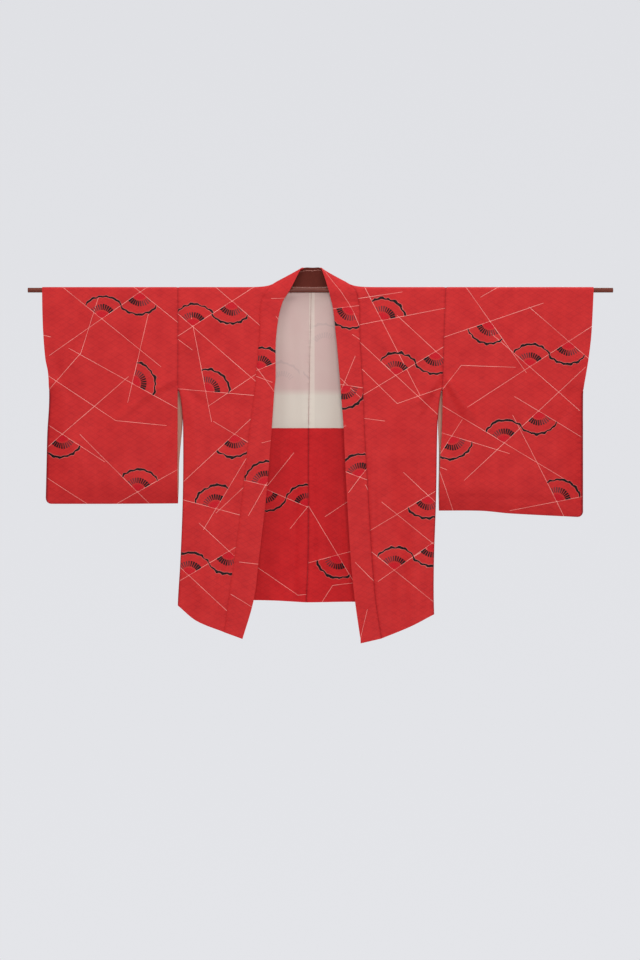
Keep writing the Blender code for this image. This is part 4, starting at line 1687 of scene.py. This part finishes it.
@dataclass
class BodyPanel:
    """One length of cloth from the front hem over the shoulder to the back hem, with its inside layers."""

    half: Half
    dresser: Dresser
    cut: Cut = Cut(0.31, 1.53, 0.35)
    lining_cut: Cut = Cut(0.27, 0.34, 0.08)
    facing_cut: Cut = Cut(0.27, 0.41, 0.105)
    lining_from: float = 0.12
    front_drop: float = 0.55
    facing_drop: float = 0.4
    lining_rows: int = 16
    loose_from: float = 30 * MM
    loose_over: float = 60 * MM
    held_over: float = 16 * MM
    tuck: float = 0.6
    sharp_folds: tuple = (95, 3, 0.9)
    broad_folds: tuple = (41, -6, 0.5)
    glow_level: float = -200 * MM

    def __post_init__(self) -> None:
        """Lays out rows and columns."""
        half = self.half
        levels = GUSSET_TOP * (1 - np.linspace(0, 1, round(-GUSSET_TOP / STEP) + 1))
        drops = graded(self.front_drop, fine_start=False)
        self.rows = [Row(Zone.FRONT, to_hem=share) for share in drops[::-1][:-1]]
        self.rows += [Row(Zone.FRONT, level=level) for level in levels[:-1]]
        self.rows += [Row(Zone.FOLD, turn=turn) for turn in np.linspace(0, 1, FOLD_TURNS + 1)]
        self.top = next(i for i, row in enumerate(self.rows) if row.turn >= 0.5)
        below = np.linspace(GUSSET_TOP, LINING_HEM, self.lining_rows)
        self.rows += [Row(Zone.BACK, level=level) for level in (*levels[::-1][1:], *below[1:])]
        self.hem_row = len(self.rows) - 1
        self.rows += [Row(Zone.BACK, to_hem=share) for share in graded(self.facing_drop)[1:]]
        across = graded(abs(half.shoulder_x - float(half.side(0))))
        inwards = graded(abs(half.shoulder_x - float(CENTRE_SEAM(0))))[1:]
        self.share = np.concatenate([across, np.ones(len(inwards))])
        self.to_centre = np.concatenate([np.zeros(len(across)), inwards])
        self.collar_column = len(across) - 1

    def front_points(self, row: Row, share: Array) -> Array:
        """Points of the front below the fold.

        Args:
            row: The row.
            share: How far each point lies from the side to the collar seam.

        Returns:
            One point for each share.
        """
        half = self.half
        z = np.full(share.shape, row.level)
        if row.to_hem:
            z = GUSSET_TOP + row.to_hem * (half.hem["front"](share) - GUSSET_TOP)
        side, seam = half.side(z), half.seam(z)
        x = side + (seam - side) * share
        swing = COLLAR_SWING * share**2 * ease(-z / COLLAR_SWING_DROP)
        points = joined(x, front_y(x, z) - swing, z)
        if row.level <= NECK_START or row.to_hem:
            return points
        neck = half.neck(FOLD_START_SHARE * (1 - row.level / NECK_START))
        x = side + (neck[0] - side) * share
        base = joined(x, front_y(x, z), z)
        at_neck = np.array((neck[0], float(front_y(neck[0], row.level)), row.level))
        return base + (neck - at_neck) * share[:, None] ** NECK_LIFT_POWER

    def back_points(self, row: Row, share: Array, to_centre: Array) -> Array:
        """Points of the back below the fold.

        Args:
            row: The row.
            share: How far each point lies from the side to the neck's width.
            to_centre: How far it lies from there to the centre.

        Returns:
            One point for each share.
        """
        half = self.half
        z = np.full(share.shape, row.level)
        if row.to_hem:
            along = BACK_SIDE_SHARE * share + (1 - BACK_SIDE_SHARE) * to_centre
            z = LINING_HEM + row.to_hem * (half.hem["back"](along) - LINING_HEM)
        side = half.side(z)
        x = side + (half.shoulder_x - side) * share + (CENTRE_SEAM(z) - half.shoulder_x) * to_centre
        return joined(x, back_y(x, z), z)

    def row_points(self, row: Row) -> Array:
        """Points of one row.

        Args:
            row: The row.

        Returns:
            Its points, from the side seam to the centre.
        """
        half, share, to_centre = self.half, self.share, self.to_centre
        if row.zone is Zone.FRONT:
            return self.front_points(row, share)
        power = share[:, None] ** NECK_LIFT_POWER * (to_centre[:, None] == 0)
        side = float(half.side(0.0))
        if row.zone is Zone.FOLD and row.turn <= 0.5:
            neck = half.neck(FOLD_START_SHARE + (SHOULDER_SHARE - FOLD_START_SHARE) * row.turn * 2)
            points = arc(side + (neck[0] - side) * share, row.turn)
            points = points + (neck - arc(neck[:1], row.turn)[0]) * share[:, None] ** NECK_LIFT_POWER
            if row.turn < 0.5:
                return points
        top = half.neck(SHOULDER_SHARE)
        lift = top - arc(top[:1], 0.5)[0]
        if row.zone is Zone.FOLD:
            fade = 1 - (1 - FOLD_LOW_FADE) * (row.turn * 2 - 1)
            turned = 1 - fade
            base = arc(side + (half.shoulder_x - side) * share, row.turn)
        else:
            fade = FOLD_LOW_FADE * max(1 - row.level / NECK_START, 0.0) if not row.to_hem else 0.0
            turned = (1 - fade) * fade / FOLD_LOW_FADE
            base = self.back_points(row, share, to_centre)
        points = base + (lift * fade + np.array((0, NECK_TURN_DEPTH * turned, 0))) * power
        if fade > 0:
            seam = half.neck(SHOULDER_SHARE + (1 - SHOULDER_SHARE) * to_centre)
            low = self.back_points(Row(Zone.BACK, level=NECK_START), share, to_centre)
            down = 1 - fade
            round_rod = ROD_BULGE * (1 - to_centre) * 4 * down * (1 - down)
            inner = seam + (low - seam) * down
            inner[:, 1] += round_rod
            points = np.where((to_centre > 0)[:, None], inner, points)
        return points

    def cloth(self) -> Cloth:
        """The panel's middle surface, pulled in at its seams.

        Returns:
            The cloth, from the front hem to the back hem.
        """
        points = np.stack([self.row_points(row) for row in self.rows])
        falls = np.stack([fall_of(row, points[i, :, 2]) for i, row in enumerate(self.rows)])
        width = np.abs(points[:, self.collar_column, 0] - points[:, 0, 0])[:, None]
        to_side = self.share * width
        front = np.arange(len(self.rows))[:, None] < self.top
        to_collar = np.where(front, (1 - self.share) * width, 1.0)
        inner_width = abs(self.half.shoulder_x - float(CENTRE_SEAM(0)))
        to_middle = (1 - self.to_centre) * inner_width + (1 - self.share) * width
        to_middle = np.where(front, 1.0, to_middle)
        distance = np.minimum(np.minimum(to_side, to_collar), to_middle)
        quiet = 0.0 if self.half.mirrored else QUIET_SEAM
        shaded = np.minimum(np.minimum(to_side, to_collar + quiet), to_middle)
        cloth = Cloth(points, joined(points[..., 0], falls), joined(shaded, falls), self.half.mirrored)
        return cloth.moved(pulled_in(distance))

    def build(self) -> list:
        """Models the panel, its lining and its facing.

        Returns:
            The three pieces.
        """
        name = self.half.name
        cloth = self.cloth()
        rows, columns = cloth.points.shape[:2]
        keep = np.ones((rows - 1, columns - 1), bool)
        keep[: self.top, self.collar_column :] = False
        node = "body_panel_" + name
        panel = Builder.build("panel_" + name, cloth, SILK, FANS[node], keep)
        self.dresser.print_silk(panel, node, self.cut, cloth.flat)
        return [panel, *self.build_layers(cloth)]

    def build_layers(self, cloth: Cloth) -> list:
        """Models the cream lining and the turned-up facing inside the back.

        Args:
            cloth: The panel's middle surface.

        Returns:
            The two pieces.
        """
        name, dresser = self.half.name, self.dresser
        first = int(np.argmax(self.share >= self.lining_from))
        lining = cloth.part(slice(self.top, self.hem_row + 1), slice(first, None)).moved(-LINING_DROP)
        rows, columns = lining.points.shape[:2]
        levels = [row.level if row.zone is Zone.BACK else 0.0 for row in self.rows[self.top :]]
        below_neck = int(np.argmax(np.array(levels) <= NECK_START))
        keep = np.ones((rows - 1, columns - 1), bool)
        keep[:below_neck, : self.collar_column - first] = False
        lining = self.loosened(lining)
        node = "back_lining_" + name
        upper = Builder.build("lining_" + name, lining, LINING, FANS[node], keep)
        centre = float(CENTRE_SEAM(self.glow_level))
        silk = dresser.lining.material("cream_silk_" + name, dresser.groups, centre)
        dresser.dress(upper, silk, node, Slot.LINING, self.lining_cut)
        facing = cloth.part(slice(self.hem_row, None), slice(first, None)).moved(-LINING_DROP)
        node = "back_facing_" + name
        lower = Builder.build("hem_facing_" + name, facing, LINING, FANS[node])
        dresser.print_silk(lower, node, self.facing_cut, facing.flat)
        return [upper, lower]

    def loosened(self, lining: Cloth) -> Cloth:
        """The lining with soft upright folds of its own, and a tuck at its lower edge.

        Args:
            lining: The lining, still flat on the panel.

        Returns:
            The loosened lining.
        """
        x, z = lining.points[..., 0], lining.points[..., 2]
        free = ease((-z - self.loose_from) / self.loose_over) * ease((z - LINING_HEM) / self.held_over)
        turns, slant, height = self.sharp_folds
        sharp = np.maximum(np.sin(x * turns + slant * z), 0) ** 2 * height
        turns, slant, height = self.broad_folds
        folds = sharp + np.sin(x * turns + slant * z + 1.0) * height + height
        tuck = pulled_in(np.abs(z - LINING_HEM)) * -self.tuck
        return lining.moved(-folds * MM * free + tuck)


@dataclass
class CollarBand:
    """The collar: a long band folded double, from the left hem round the neck to the right hem."""

    dresser: Dresser
    cut: Cut = Cut(0.058, 1.86, 0.095)
    stand_cut: Cut = Cut(0.046, 0.12, 0.0045)
    width: float = 55 * MM
    step: float = 4 * MM
    crown: float = 0.9 * MM
    pucker_from: float = 0.05
    pucker_reach: float = 0.9
    neck_stations: int = 64
    stand_from: float = 0.4167
    stand_level_from: float = 0.6
    stand_level_ramp: float = 0.1
    stand_level_reach: float = 14 * MM
    stand_foot: float = 6.6 * MM
    stand_clear: float = 0.8 * MM
    stand_lap: float = 0.6 * MM
    stand_tuck: float = 2.5 * MM
    stand_tucked: float = 0.9
    stand_lap_power: int = 8

    def side_lines(self, half: Half) -> tuple:
        """Seam and free edge of one side, from its hem to centre back.

        Args:
            half: The half that the side belongs to.

        Returns:
            Seam points, edge points and neck shares, one for each station.
        """
        panel = BodyPanel(half, self.dresser)
        seams, edges, shares = [], [], []
        one = np.ones(1)
        for row in panel.rows:
            if row.zone is not Zone.FRONT or (not row.to_hem and row.level >= NECK_START):
                break
            seam = panel.front_points(row, one)[0]
            z = row.level
            if row.to_hem:
                z = GUSSET_TOP + row.to_hem * (float(half.hem["collar"](1.0)) - GUSSET_TOP)
            seams.append(seam)
            edges.append(self.front_edge(half, z))
            shares.append(0.0)
        for share in np.linspace(0, 1, self.neck_stations):
            seams.append(half.neck(share))
            edges.append(half.neck(share, "edge"))
            shares.append(share)
        return np.array(seams), np.array(edges), np.array(shares)

    @classmethod
    def front_edge(cls, half: Half, level: float) -> Array:
        """The free edge in front, led smoothly into its line round the neck.

        Args:
            half: The half that the edge belongs to.
            level: Height above the rod's axis.

        Returns:
            The edge's point at that height.
        """
        blend = float(ease((level - COLLAR_SET) / (NECK_START - COLLAR_SET)))
        to_neck = half.neck(0.0, "edge") - cls.straight_edge(half, NECK_START)
        return cls.straight_edge(half, level) + to_neck * blend

    @staticmethod
    def straight_edge(half: Half, level: float) -> Array:
        """The free edge's own line at a height, before it is led to the neck."""
        x = float(half.edge(level))
        swing = COLLAR_SWING * float(ease(-level / COLLAR_SWING_DROP))
        return np.array((x, float(front_y(x, level)) - swing, level))

    def cloth(self) -> tuple:
        """The band's middle surface.

        Returns:
            The cloth, and the neck share of each of its rows.
        """
        left, right = self.side_lines(LEFT), self.side_lines(RIGHT)
        seams, edges, shares = (np.concatenate([one, other[-2::-1]]) for one, other in zip(left, right))
        across = graded(self.width, step=self.step)
        points = seams[:, None] + (edges - seams)[:, None] * across[None, :, None]
        lengths = np.concatenate([[0], np.linalg.norm(np.diff(seams, axis=0), axis=1).cumsum()])
        lengths -= lengths[len(left[0]) - 1]
        width = np.linalg.norm(edges - seams, axis=1)[:, None]
        u = across[None] * width
        v = np.broadcast_to(lengths[:, None], u.shape)
        seam = joined(u + np.where(v < 0, QUIET_SEAM, 0.0), v)
        cloth = Cloth(points, joined(u, v), seam, False)
        lift = self.crown * np.sin(np.pi * np.clip(across, 0, 1))[None] * np.ones_like(u)
        lift = lift + self.puckers(points, across, len(left[0])) + pulled_in(u)
        return cloth.moved(lift), shares

    def puckers(self, points: Array, across: Array, left_count: int) -> Array:
        """The band's small puckers.

        Args:
            points: The band's points.
            across: Each column's place, from the seam to the free edge.
            left_count: How many rows belong to the left side.

        Returns:
            How far each point stands out.
        """
        bulge = np.sin(np.pi * np.clip(across[None] * self.pucker_reach + self.pucker_from, 0, 1))
        out = np.zeros(points.shape[:2])
        for half, rows in (("left", slice(0, left_count)), ("right", slice(left_count, None))):
            z = points[rows, :, 2]
            for pucker in COLLAR_PUCKERS[half]:
                level = pucker.level * MM + pucker.slant * MM * (across[None] - 0.5)
                share = np.exp(-(((z - level) / (pucker.width * MM)) ** 2))
                out[rows] += pucker.height * MM * share * bulge
        return out

    def build(self) -> list:
        """Models the band and the dark brown sheet inside its stand.

        Returns:
            The two pieces.
        """
        cloth, shares = self.cloth()
        band = Builder.build("collar", cloth, COLLAR_FOLDED, FANS["collar_band"], rounded=EDGE_ROUND)
        self.dresser.print_silk(band, "collar_band", self.cut, cloth.flat)
        stand = Builder.build("collar_stand_inside", self.stand_cloth(cloth, shares), LINING)
        dark = self.dresser.facing.material("dark_stand_inside")
        self.dresser.dress(stand, dark, "collar_stand_facing", Slot.FACING, self.stand_cut)
        return [band, stand]

    def stand_cloth(self, cloth: Cloth, shares: Array) -> Cloth:
        """The dark brown sheet inside the stand, whose lower edge hangs level just above the rod.

        Args:
            cloth: The band's middle surface.
            shares: The neck share of each row.

        Returns:
            The facing's middle surface.
        """
        rows = np.flatnonzero(shares >= self.stand_from)
        inside = cloth.part(slice(rows[0], rows[-1] + 1), slice(None)).moved(-COLLAR_LINING_DROP)
        level = ease((shares[rows] - self.stand_level_from) / self.stand_level_ramp)
        hangs = level[:, None] * ease(1 - cloth.flat[len(shares) // 2, :, 0] / self.stand_level_reach)[None]
        tucked = int(np.argmax(inside.flat[0, :, 0] > self.stand_level_reach / 2))
        inwards = inside.points[:, tucked : tucked + 1] - inside.points[:, :tucked]
        inside.points[:, :tucked] += inwards * (1 - level[:, None, None]) * self.stand_tucked
        near = inside.points[:, :1, 1] - self.stand_clear
        inside.points[..., 1] += (near - inside.points[..., 1]) * hangs
        inside.points[..., 2] += (self.stand_foot - inside.points[..., 2]) * hangs
        lap = level * (self.stand_lap + self.stand_tuck) - self.stand_tuck
        to_edge = inside.flat[..., 0] / inside.flat[:, -1:, 0]
        inside.points[..., 2] += lap[:, None] * to_edge**self.stand_lap_power
        return inside


@dataclass
class SideGusset:
    """A long wedge between front and back, folded inwards along its middle."""

    half: Half
    dresser: Dresser
    cut: Cut = Cut(0.07, 0.5, 0.025)
    drop: float = 0.49
    width: float = 40 * MM
    step: float = 3 * MM
    seam_from_width: float = 20 * MM
    crease: float = 14 * MM
    crease_at_top: float = 0.2
    crease_growth: float = 1.6
    crease_sharpness: float = 1.2

    def cloth(self) -> Cloth:
        """The gusset's middle surface.

        Returns:
            The cloth, from its point at the armhole to the hem.
        """
        half, seams = self.half, []
        down = graded(self.drop)[:, None]
        across = graded(self.width, step=self.step)[None]
        for face, hangs in (("front", front_y), ("back", back_y)):
            z = GUSSET_TOP + down[:, 0] * (float(half.hem[face](0.0)) - GUSSET_TOP)
            x = half.side(z)
            seams.append(joined(x, hangs(x, z), z))
        front, back = seams
        points = front[:, None] + (back - front)[:, None] * across[..., None]
        depth = self.crease * ease(self.crease_growth * down + self.crease_at_top)
        points[..., 0] -= half.sign * depth * (1 - np.abs(2 * across - 1)) ** self.crease_sharpness
        width = np.linalg.norm(back - front, axis=1)[:, None]
        u = across * width
        v = -points[..., 2]
        distance = np.minimum(u, width - u)
        cloth = Cloth(points, joined(u, v), joined(distance, v), half.mirrored)
        return cloth.moved(pulled_in(distance) * ease(width / self.seam_from_width))

    def build(self) -> list:
        """Models the gusset.

        Returns:
            The one piece.
        """
        node = "side_gusset_" + self.half.name
        cloth = self.cloth()
        piece = Builder.build("gusset_" + self.half.name, cloth, SILK)
        self.dresser.print_silk(piece, node, self.cut, cloth.flat)
        return [piece]


@dataclass
class Sleeve:
    """A length over the rod, sewn along its foot and up its outer edge to the cuff, open beside the body."""

    half: Half
    dresser: Dresser
    cut: Cut = Cut(0.34, 1.04, 0.33)
    strip_cut: Cut = Cut(0.068, 0.25, 0.016)
    drop: float = 0.26
    span: float = 0.3
    edge_radius: float = 3.5 * MM
    closing: float = 60 * MM
    corner: float = 13 * MM
    cuff_foot: float = -213 * MM
    cuff_ramp: float = 20 * MM
    edge_from: float = -228 * MM
    edge_ramp: float = 10 * MM
    slit_top_shows: float = 0.92
    slit_shows: float = 0.05
    slit_ramp: float = 14 * MM
    slit_fade_from: float = -262 * MM
    slit_fade: float = 160 * MM
    slit_closes: float = 45 * MM
    strip_reach: float = 0.2
    strip_lift: float = 9 * MM
    strip_ramp: float = 75 * MM
    edge_turns: tuple = (30, 60, 90)

    def __post_init__(self) -> None:
        """Lays out rows from the foot in front, over the rod, to the foot behind."""
        drops = graded(self.drop, fine_start=False)
        levels = ARMHOLE_FOOT * (1 - np.linspace(0, 1, round(-ARMHOLE_FOOT / STEP) + 1))
        foot = [Row(Zone.FRONT, to_hem=1.0, round=turn) for turn in reversed(self.edge_turns)]
        front = foot + [Row(Zone.FRONT, to_hem=share) for share in drops[::-1][:-1]]
        front += [Row(Zone.FRONT, level=level) for level in levels[:-1]]
        over = [Row(Zone.FOLD, turn=turn) for turn in np.linspace(0, 1, FOLD_TURNS + 1)]
        back = [row._replace(zone=Zone.BACK) for row in reversed(front)]
        self.rows = front + over + back
        turns = np.radians(self.edge_turns)
        across = graded(self.span)
        self.share = np.concatenate([across, np.ones(len(turns))])
        self.beyond = np.concatenate([np.zeros(len(across)), self.edge_radius * np.sin(turns)])
        self.thin = np.concatenate([np.ones(len(across)), np.cos(turns)])
        self.last = len(across) - 1

    def bottom(self) -> Array:
        """The lower edge, rounded off at the outer corner.

        Returns:
            Its height at each column.
        """
        from_edge = (1 - self.share) * self.half.sleeve_width + self.edge_radius - self.beyond
        into = np.clip(1 - from_edge / self.corner, 0.0, 0.999)
        return self.half.hem["sleeve"](self.share) + self.corner * (1 - np.sqrt(1 - into * into))

    def row_points(self, row: Row) -> Array:
        """Points of one row.

        Args:
            row: The row.

        Returns:
            Its points, across the sleeve and then round its outer edge.
        """
        half, share = self.half, self.share
        floor = self.bottom() + self.edge_radius
        z = np.full(share.shape, row.level)
        if row.to_hem:
            z = ARMHOLE_FOOT + row.to_hem * (floor - ARMHOLE_FOOT)
        inner, outer = half.inner(z), half.outer(z)
        if row.zone is Zone.FOLD:
            return arc(inner + (outer - inner) * share, row.turn)
        rounded = ease((self.edge_from - z) / self.edge_ramp)
        if row.zone is Zone.BACK:
            shows = self.slit_top_shows
            shows += (self.slit_shows - shows) * ease((self.slit_fade_from - z) / self.slit_fade)
            shows = shows * ease((ARMHOLE_FOOT - z) / self.slit_ramp) * ease((z - floor) / self.slit_closes)
            inner = inner + (half.side(z) - inner) * shows
        rim = outer - half.sign * self.edge_radius * rounded
        x = inner + (rim - inner) * share
        full = front_y(x, z) if row.zone is Zone.FRONT else back_y(x, z)
        at_hem = 1 - (1 - np.minimum((z - floor) / self.closing, 1.0)) ** 2
        closed = ease((self.cuff_foot - z) / self.cuff_ramp)
        at_edge = 1 - closed * (1 - np.minimum(np.abs(rim - x) / self.closing, 1.0)) ** 2
        shut = np.sign(full) * self.edge_radius
        y = shut + (full - shut) * at_hem * at_edge
        turn = math.radians(row.round)
        x = x + half.sign * self.beyond * rounded
        y = y * math.cos(turn) * self.thin
        return joined(x, y, z - self.edge_radius * math.sin(turn))

    def cloth(self) -> Cloth:
        """The sleeve's middle surface.

        Returns:
            The cloth, as one opened-out length.
        """
        points = np.stack([self.row_points(row) for row in self.rows])
        falls = np.stack([fall_of(row, points[i, :, 2]) for i, row in enumerate(self.rows)])
        u = points[..., 0].copy()
        round_edge = self.half.sign * self.edge_radius * np.radians(self.edge_turns)
        u[:, self.last + 1 :] = u[:, self.last, None] + round_edge
        width = np.abs(points[:, -1, 0] - points[:, 0, 0])[:, None]
        armhole = points[..., 2] > ARMHOLE_FOOT
        to_armhole = np.where(armhole, self.share * width, 1.0)
        to_edge = np.where(armhole, 1.0, (1 - self.share) * width)
        distance = np.minimum(to_armhole, to_edge)
        cloth = Cloth(points, joined(u, falls), joined(distance, falls), not self.half.mirrored)
        return cloth.moved(pulled_in(to_armhole))

    def build(self) -> list:
        """Models the sleeve and the strip of lining along its slit.

        Returns:
            The two pieces.
        """
        node = "sleeve_" + self.half.name
        cloth = self.cloth()
        rows, columns = cloth.points.shape[:2]
        keep = np.ones((rows - 1, columns - 1), bool)
        heights = cloth.points[:, self.last, 2]
        open_rows = np.maximum(heights[:-1], heights[1:]) > self.edge_from
        keep[open_rows, self.last :] = False
        sleeve = Builder.build("sleeve_cloth_" + self.half.name, cloth, SILK, FANS[node], keep, merged=True)
        self.dresser.print_silk(sleeve, node, self.cut, cloth.flat)
        return [sleeve, self.build_strip(cloth)]

    def build_strip(self, cloth: Cloth) -> bpy.types.Object:
        """Models the lining that shows along the open slit.

        Args:
            cloth: The sleeve's middle surface.

        Returns:
            The strip.
        """
        name, dresser = self.half.name, self.dresser
        below = [
            i for i, row in enumerate(self.rows)
            if row.zone is Zone.BACK and row.to_hem and not row.round
        ]
        last = int(np.argmax(self.share > self.strip_reach))
        strip = cloth.part(slice(below[0], below[-1] + 1), slice(0, last))
        down = ease((ARMHOLE_FOOT - strip.points[..., 2]) / self.strip_ramp)
        away = self.strip_lift * (1 - self.share[:last] / self.strip_reach) ** 2 * down
        strip = strip.moved(-LINING_DROP - away)
        piece = Builder.build("slit_strip_" + name, strip, LINING)
        # The strip's cream carries painted light, lighter and redder than the lining's own
        silk = dresser.strip.material("strip_painted_light_" + name, dresser.groups, None)
        dresser.dress(piece, silk, "sleeve_lining_" + name, Slot.LINING, self.strip_cut)
        return piece


class Lamp(NamedTuple):
    """One soft square light: its place, the point it looks at, its side in metres and its power in watts."""

    name: str
    place: tuple
    aim: tuple
    side: float
    power: float


LAMPS = (
    Lamp("key", (-3.0, -4.4, 3.2), (0, 0, -0.3), 1.9, 64),
    Lamp("fill", (0.25, -5.8, 0.1), (0, 0, -0.4), 1.5, 142),
    Lamp("top", (0.6, -0.8, 3.0), (0, 0, 0), 1.8, 75),
    Lamp("behind", (1.8, 4.4, 1.6), (0, 0, -0.3), 2.4, 90),
)


@dataclass
class Studio:
    """Camera at the photograph's angle, soft lights, pale floor and surroundings."""

    distance: float = 6.0
    eye_x: float = -1 * MM
    eye_z: float = -434.7 * MM
    frame_height: float = 960 * 2.29 * MM
    sensor: float = 24.0
    floor_level: float = -2.2
    floor_radius: float = 3.4
    floor_colour: tuple = (0.78, 0.785, 0.8, 1)
    floor_roughness: float = 0.9
    high: tuple = (0.745, 0.752, 0.783)
    low: tuple = (0.776, 0.783, 0.815)
    horizon: float = 0.5
    horizon_slope: float = 2.7
    shines: float = 0.3
    shows: float = 0.7

    def camera(self) -> None:
        """The camera, level and square to the jacket."""
        data = bpy.data.cameras.new("camera")
        data.sensor_fit = "VERTICAL"
        data.sensor_height = self.sensor
        data.lens = self.sensor * self.distance / self.frame_height
        eye = bpy.data.objects.new("camera", data)
        eye.location = (self.eye_x, -self.distance, self.eye_z)
        eye.rotation_euler = (math.pi / 2, 0, 0)
        bpy.context.scene.collection.objects.link(eye)
        bpy.context.scene.camera = eye

    @staticmethod
    def light(lamp: Lamp) -> None:
        """Sets up one light.

        Args:
            lamp: The light.
        """
        data = bpy.data.lights.new(lamp.name, "AREA")
        data.shape = "SQUARE"
        data.size = lamp.side
        data.energy = lamp.power
        stand = bpy.data.objects.new(lamp.name, data)
        way = np.array(lamp.aim) - np.array(lamp.place)
        stand.location = lamp.place
        down = math.acos(-way[2] / np.linalg.norm(way))
        stand.rotation_euler = (down, 0.0, math.atan2(-way[0], way[1]))
        bpy.context.scene.collection.objects.link(stand)

    def surroundings(self) -> None:
        """A pale world, a little lighter below, that also fills the shadows."""
        world = bpy.data.worlds.new("studio")
        bpy.context.scene.world = world
        world.use_nodes = True
        board = Board(world.node_tree)
        up = board.parts(board.node("TexCoord", "Generated"))[2]
        colour = board.mix((up * self.horizon_slope + self.horizon).clamped(), self.low, self.high)
        background = board.tree.nodes["Background"]
        Signal.feed(background.inputs["Color"], colour)
        seen = board.node("LightPath", "Is Camera Ray")
        Signal.feed(background.inputs["Strength"], seen * self.shows + self.shines)

    def floor(self) -> None:
        """A plain pale floor below the jacket."""
        Builder.deselect()
        bpy.ops.mesh.primitive_circle_add(
            vertices=96, radius=self.floor_radius, fill_type="NGON", location=(0, 0, self.floor_level)
        )
        floor = bpy.context.object
        floor.name = "floor"
        material = bpy.data.materials.new("pale_floor")
        material.use_nodes = True
        shader = material.node_tree.nodes["Principled BSDF"]
        shader.inputs["Base Color"].default_value = self.floor_colour
        shader.inputs["Roughness"].default_value = self.floor_roughness
        floor.data.materials.append(material)

    def build(self) -> None:
        """Sets up everything round the jacket."""
        self.camera()
        for lamp in LAMPS:
            self.light(lamp)
        self.surroundings()
        self.floor()
        bpy.context.scene.view_settings.view_transform = "Standard"


def main() -> None:
    """Builds every piece in order and reports it."""
    logging.basicConfig(level=logging.INFO, format="%(message)s")
    dresser = Dresser()
    makers = [Rod(dresser)]
    for half in HALVES:
        makers += [BodyPanel(half, dresser), Sleeve(half, dresser), SideGusset(half, dresser)]
    makers.append(CollarBand(dresser))
    for maker in makers:
        for piece in maker.build():
            LOG.info("%s: %d faces", piece.name, len(piece.data.polygons))
    Studio().build()


if __name__ == "__main__":
    main()
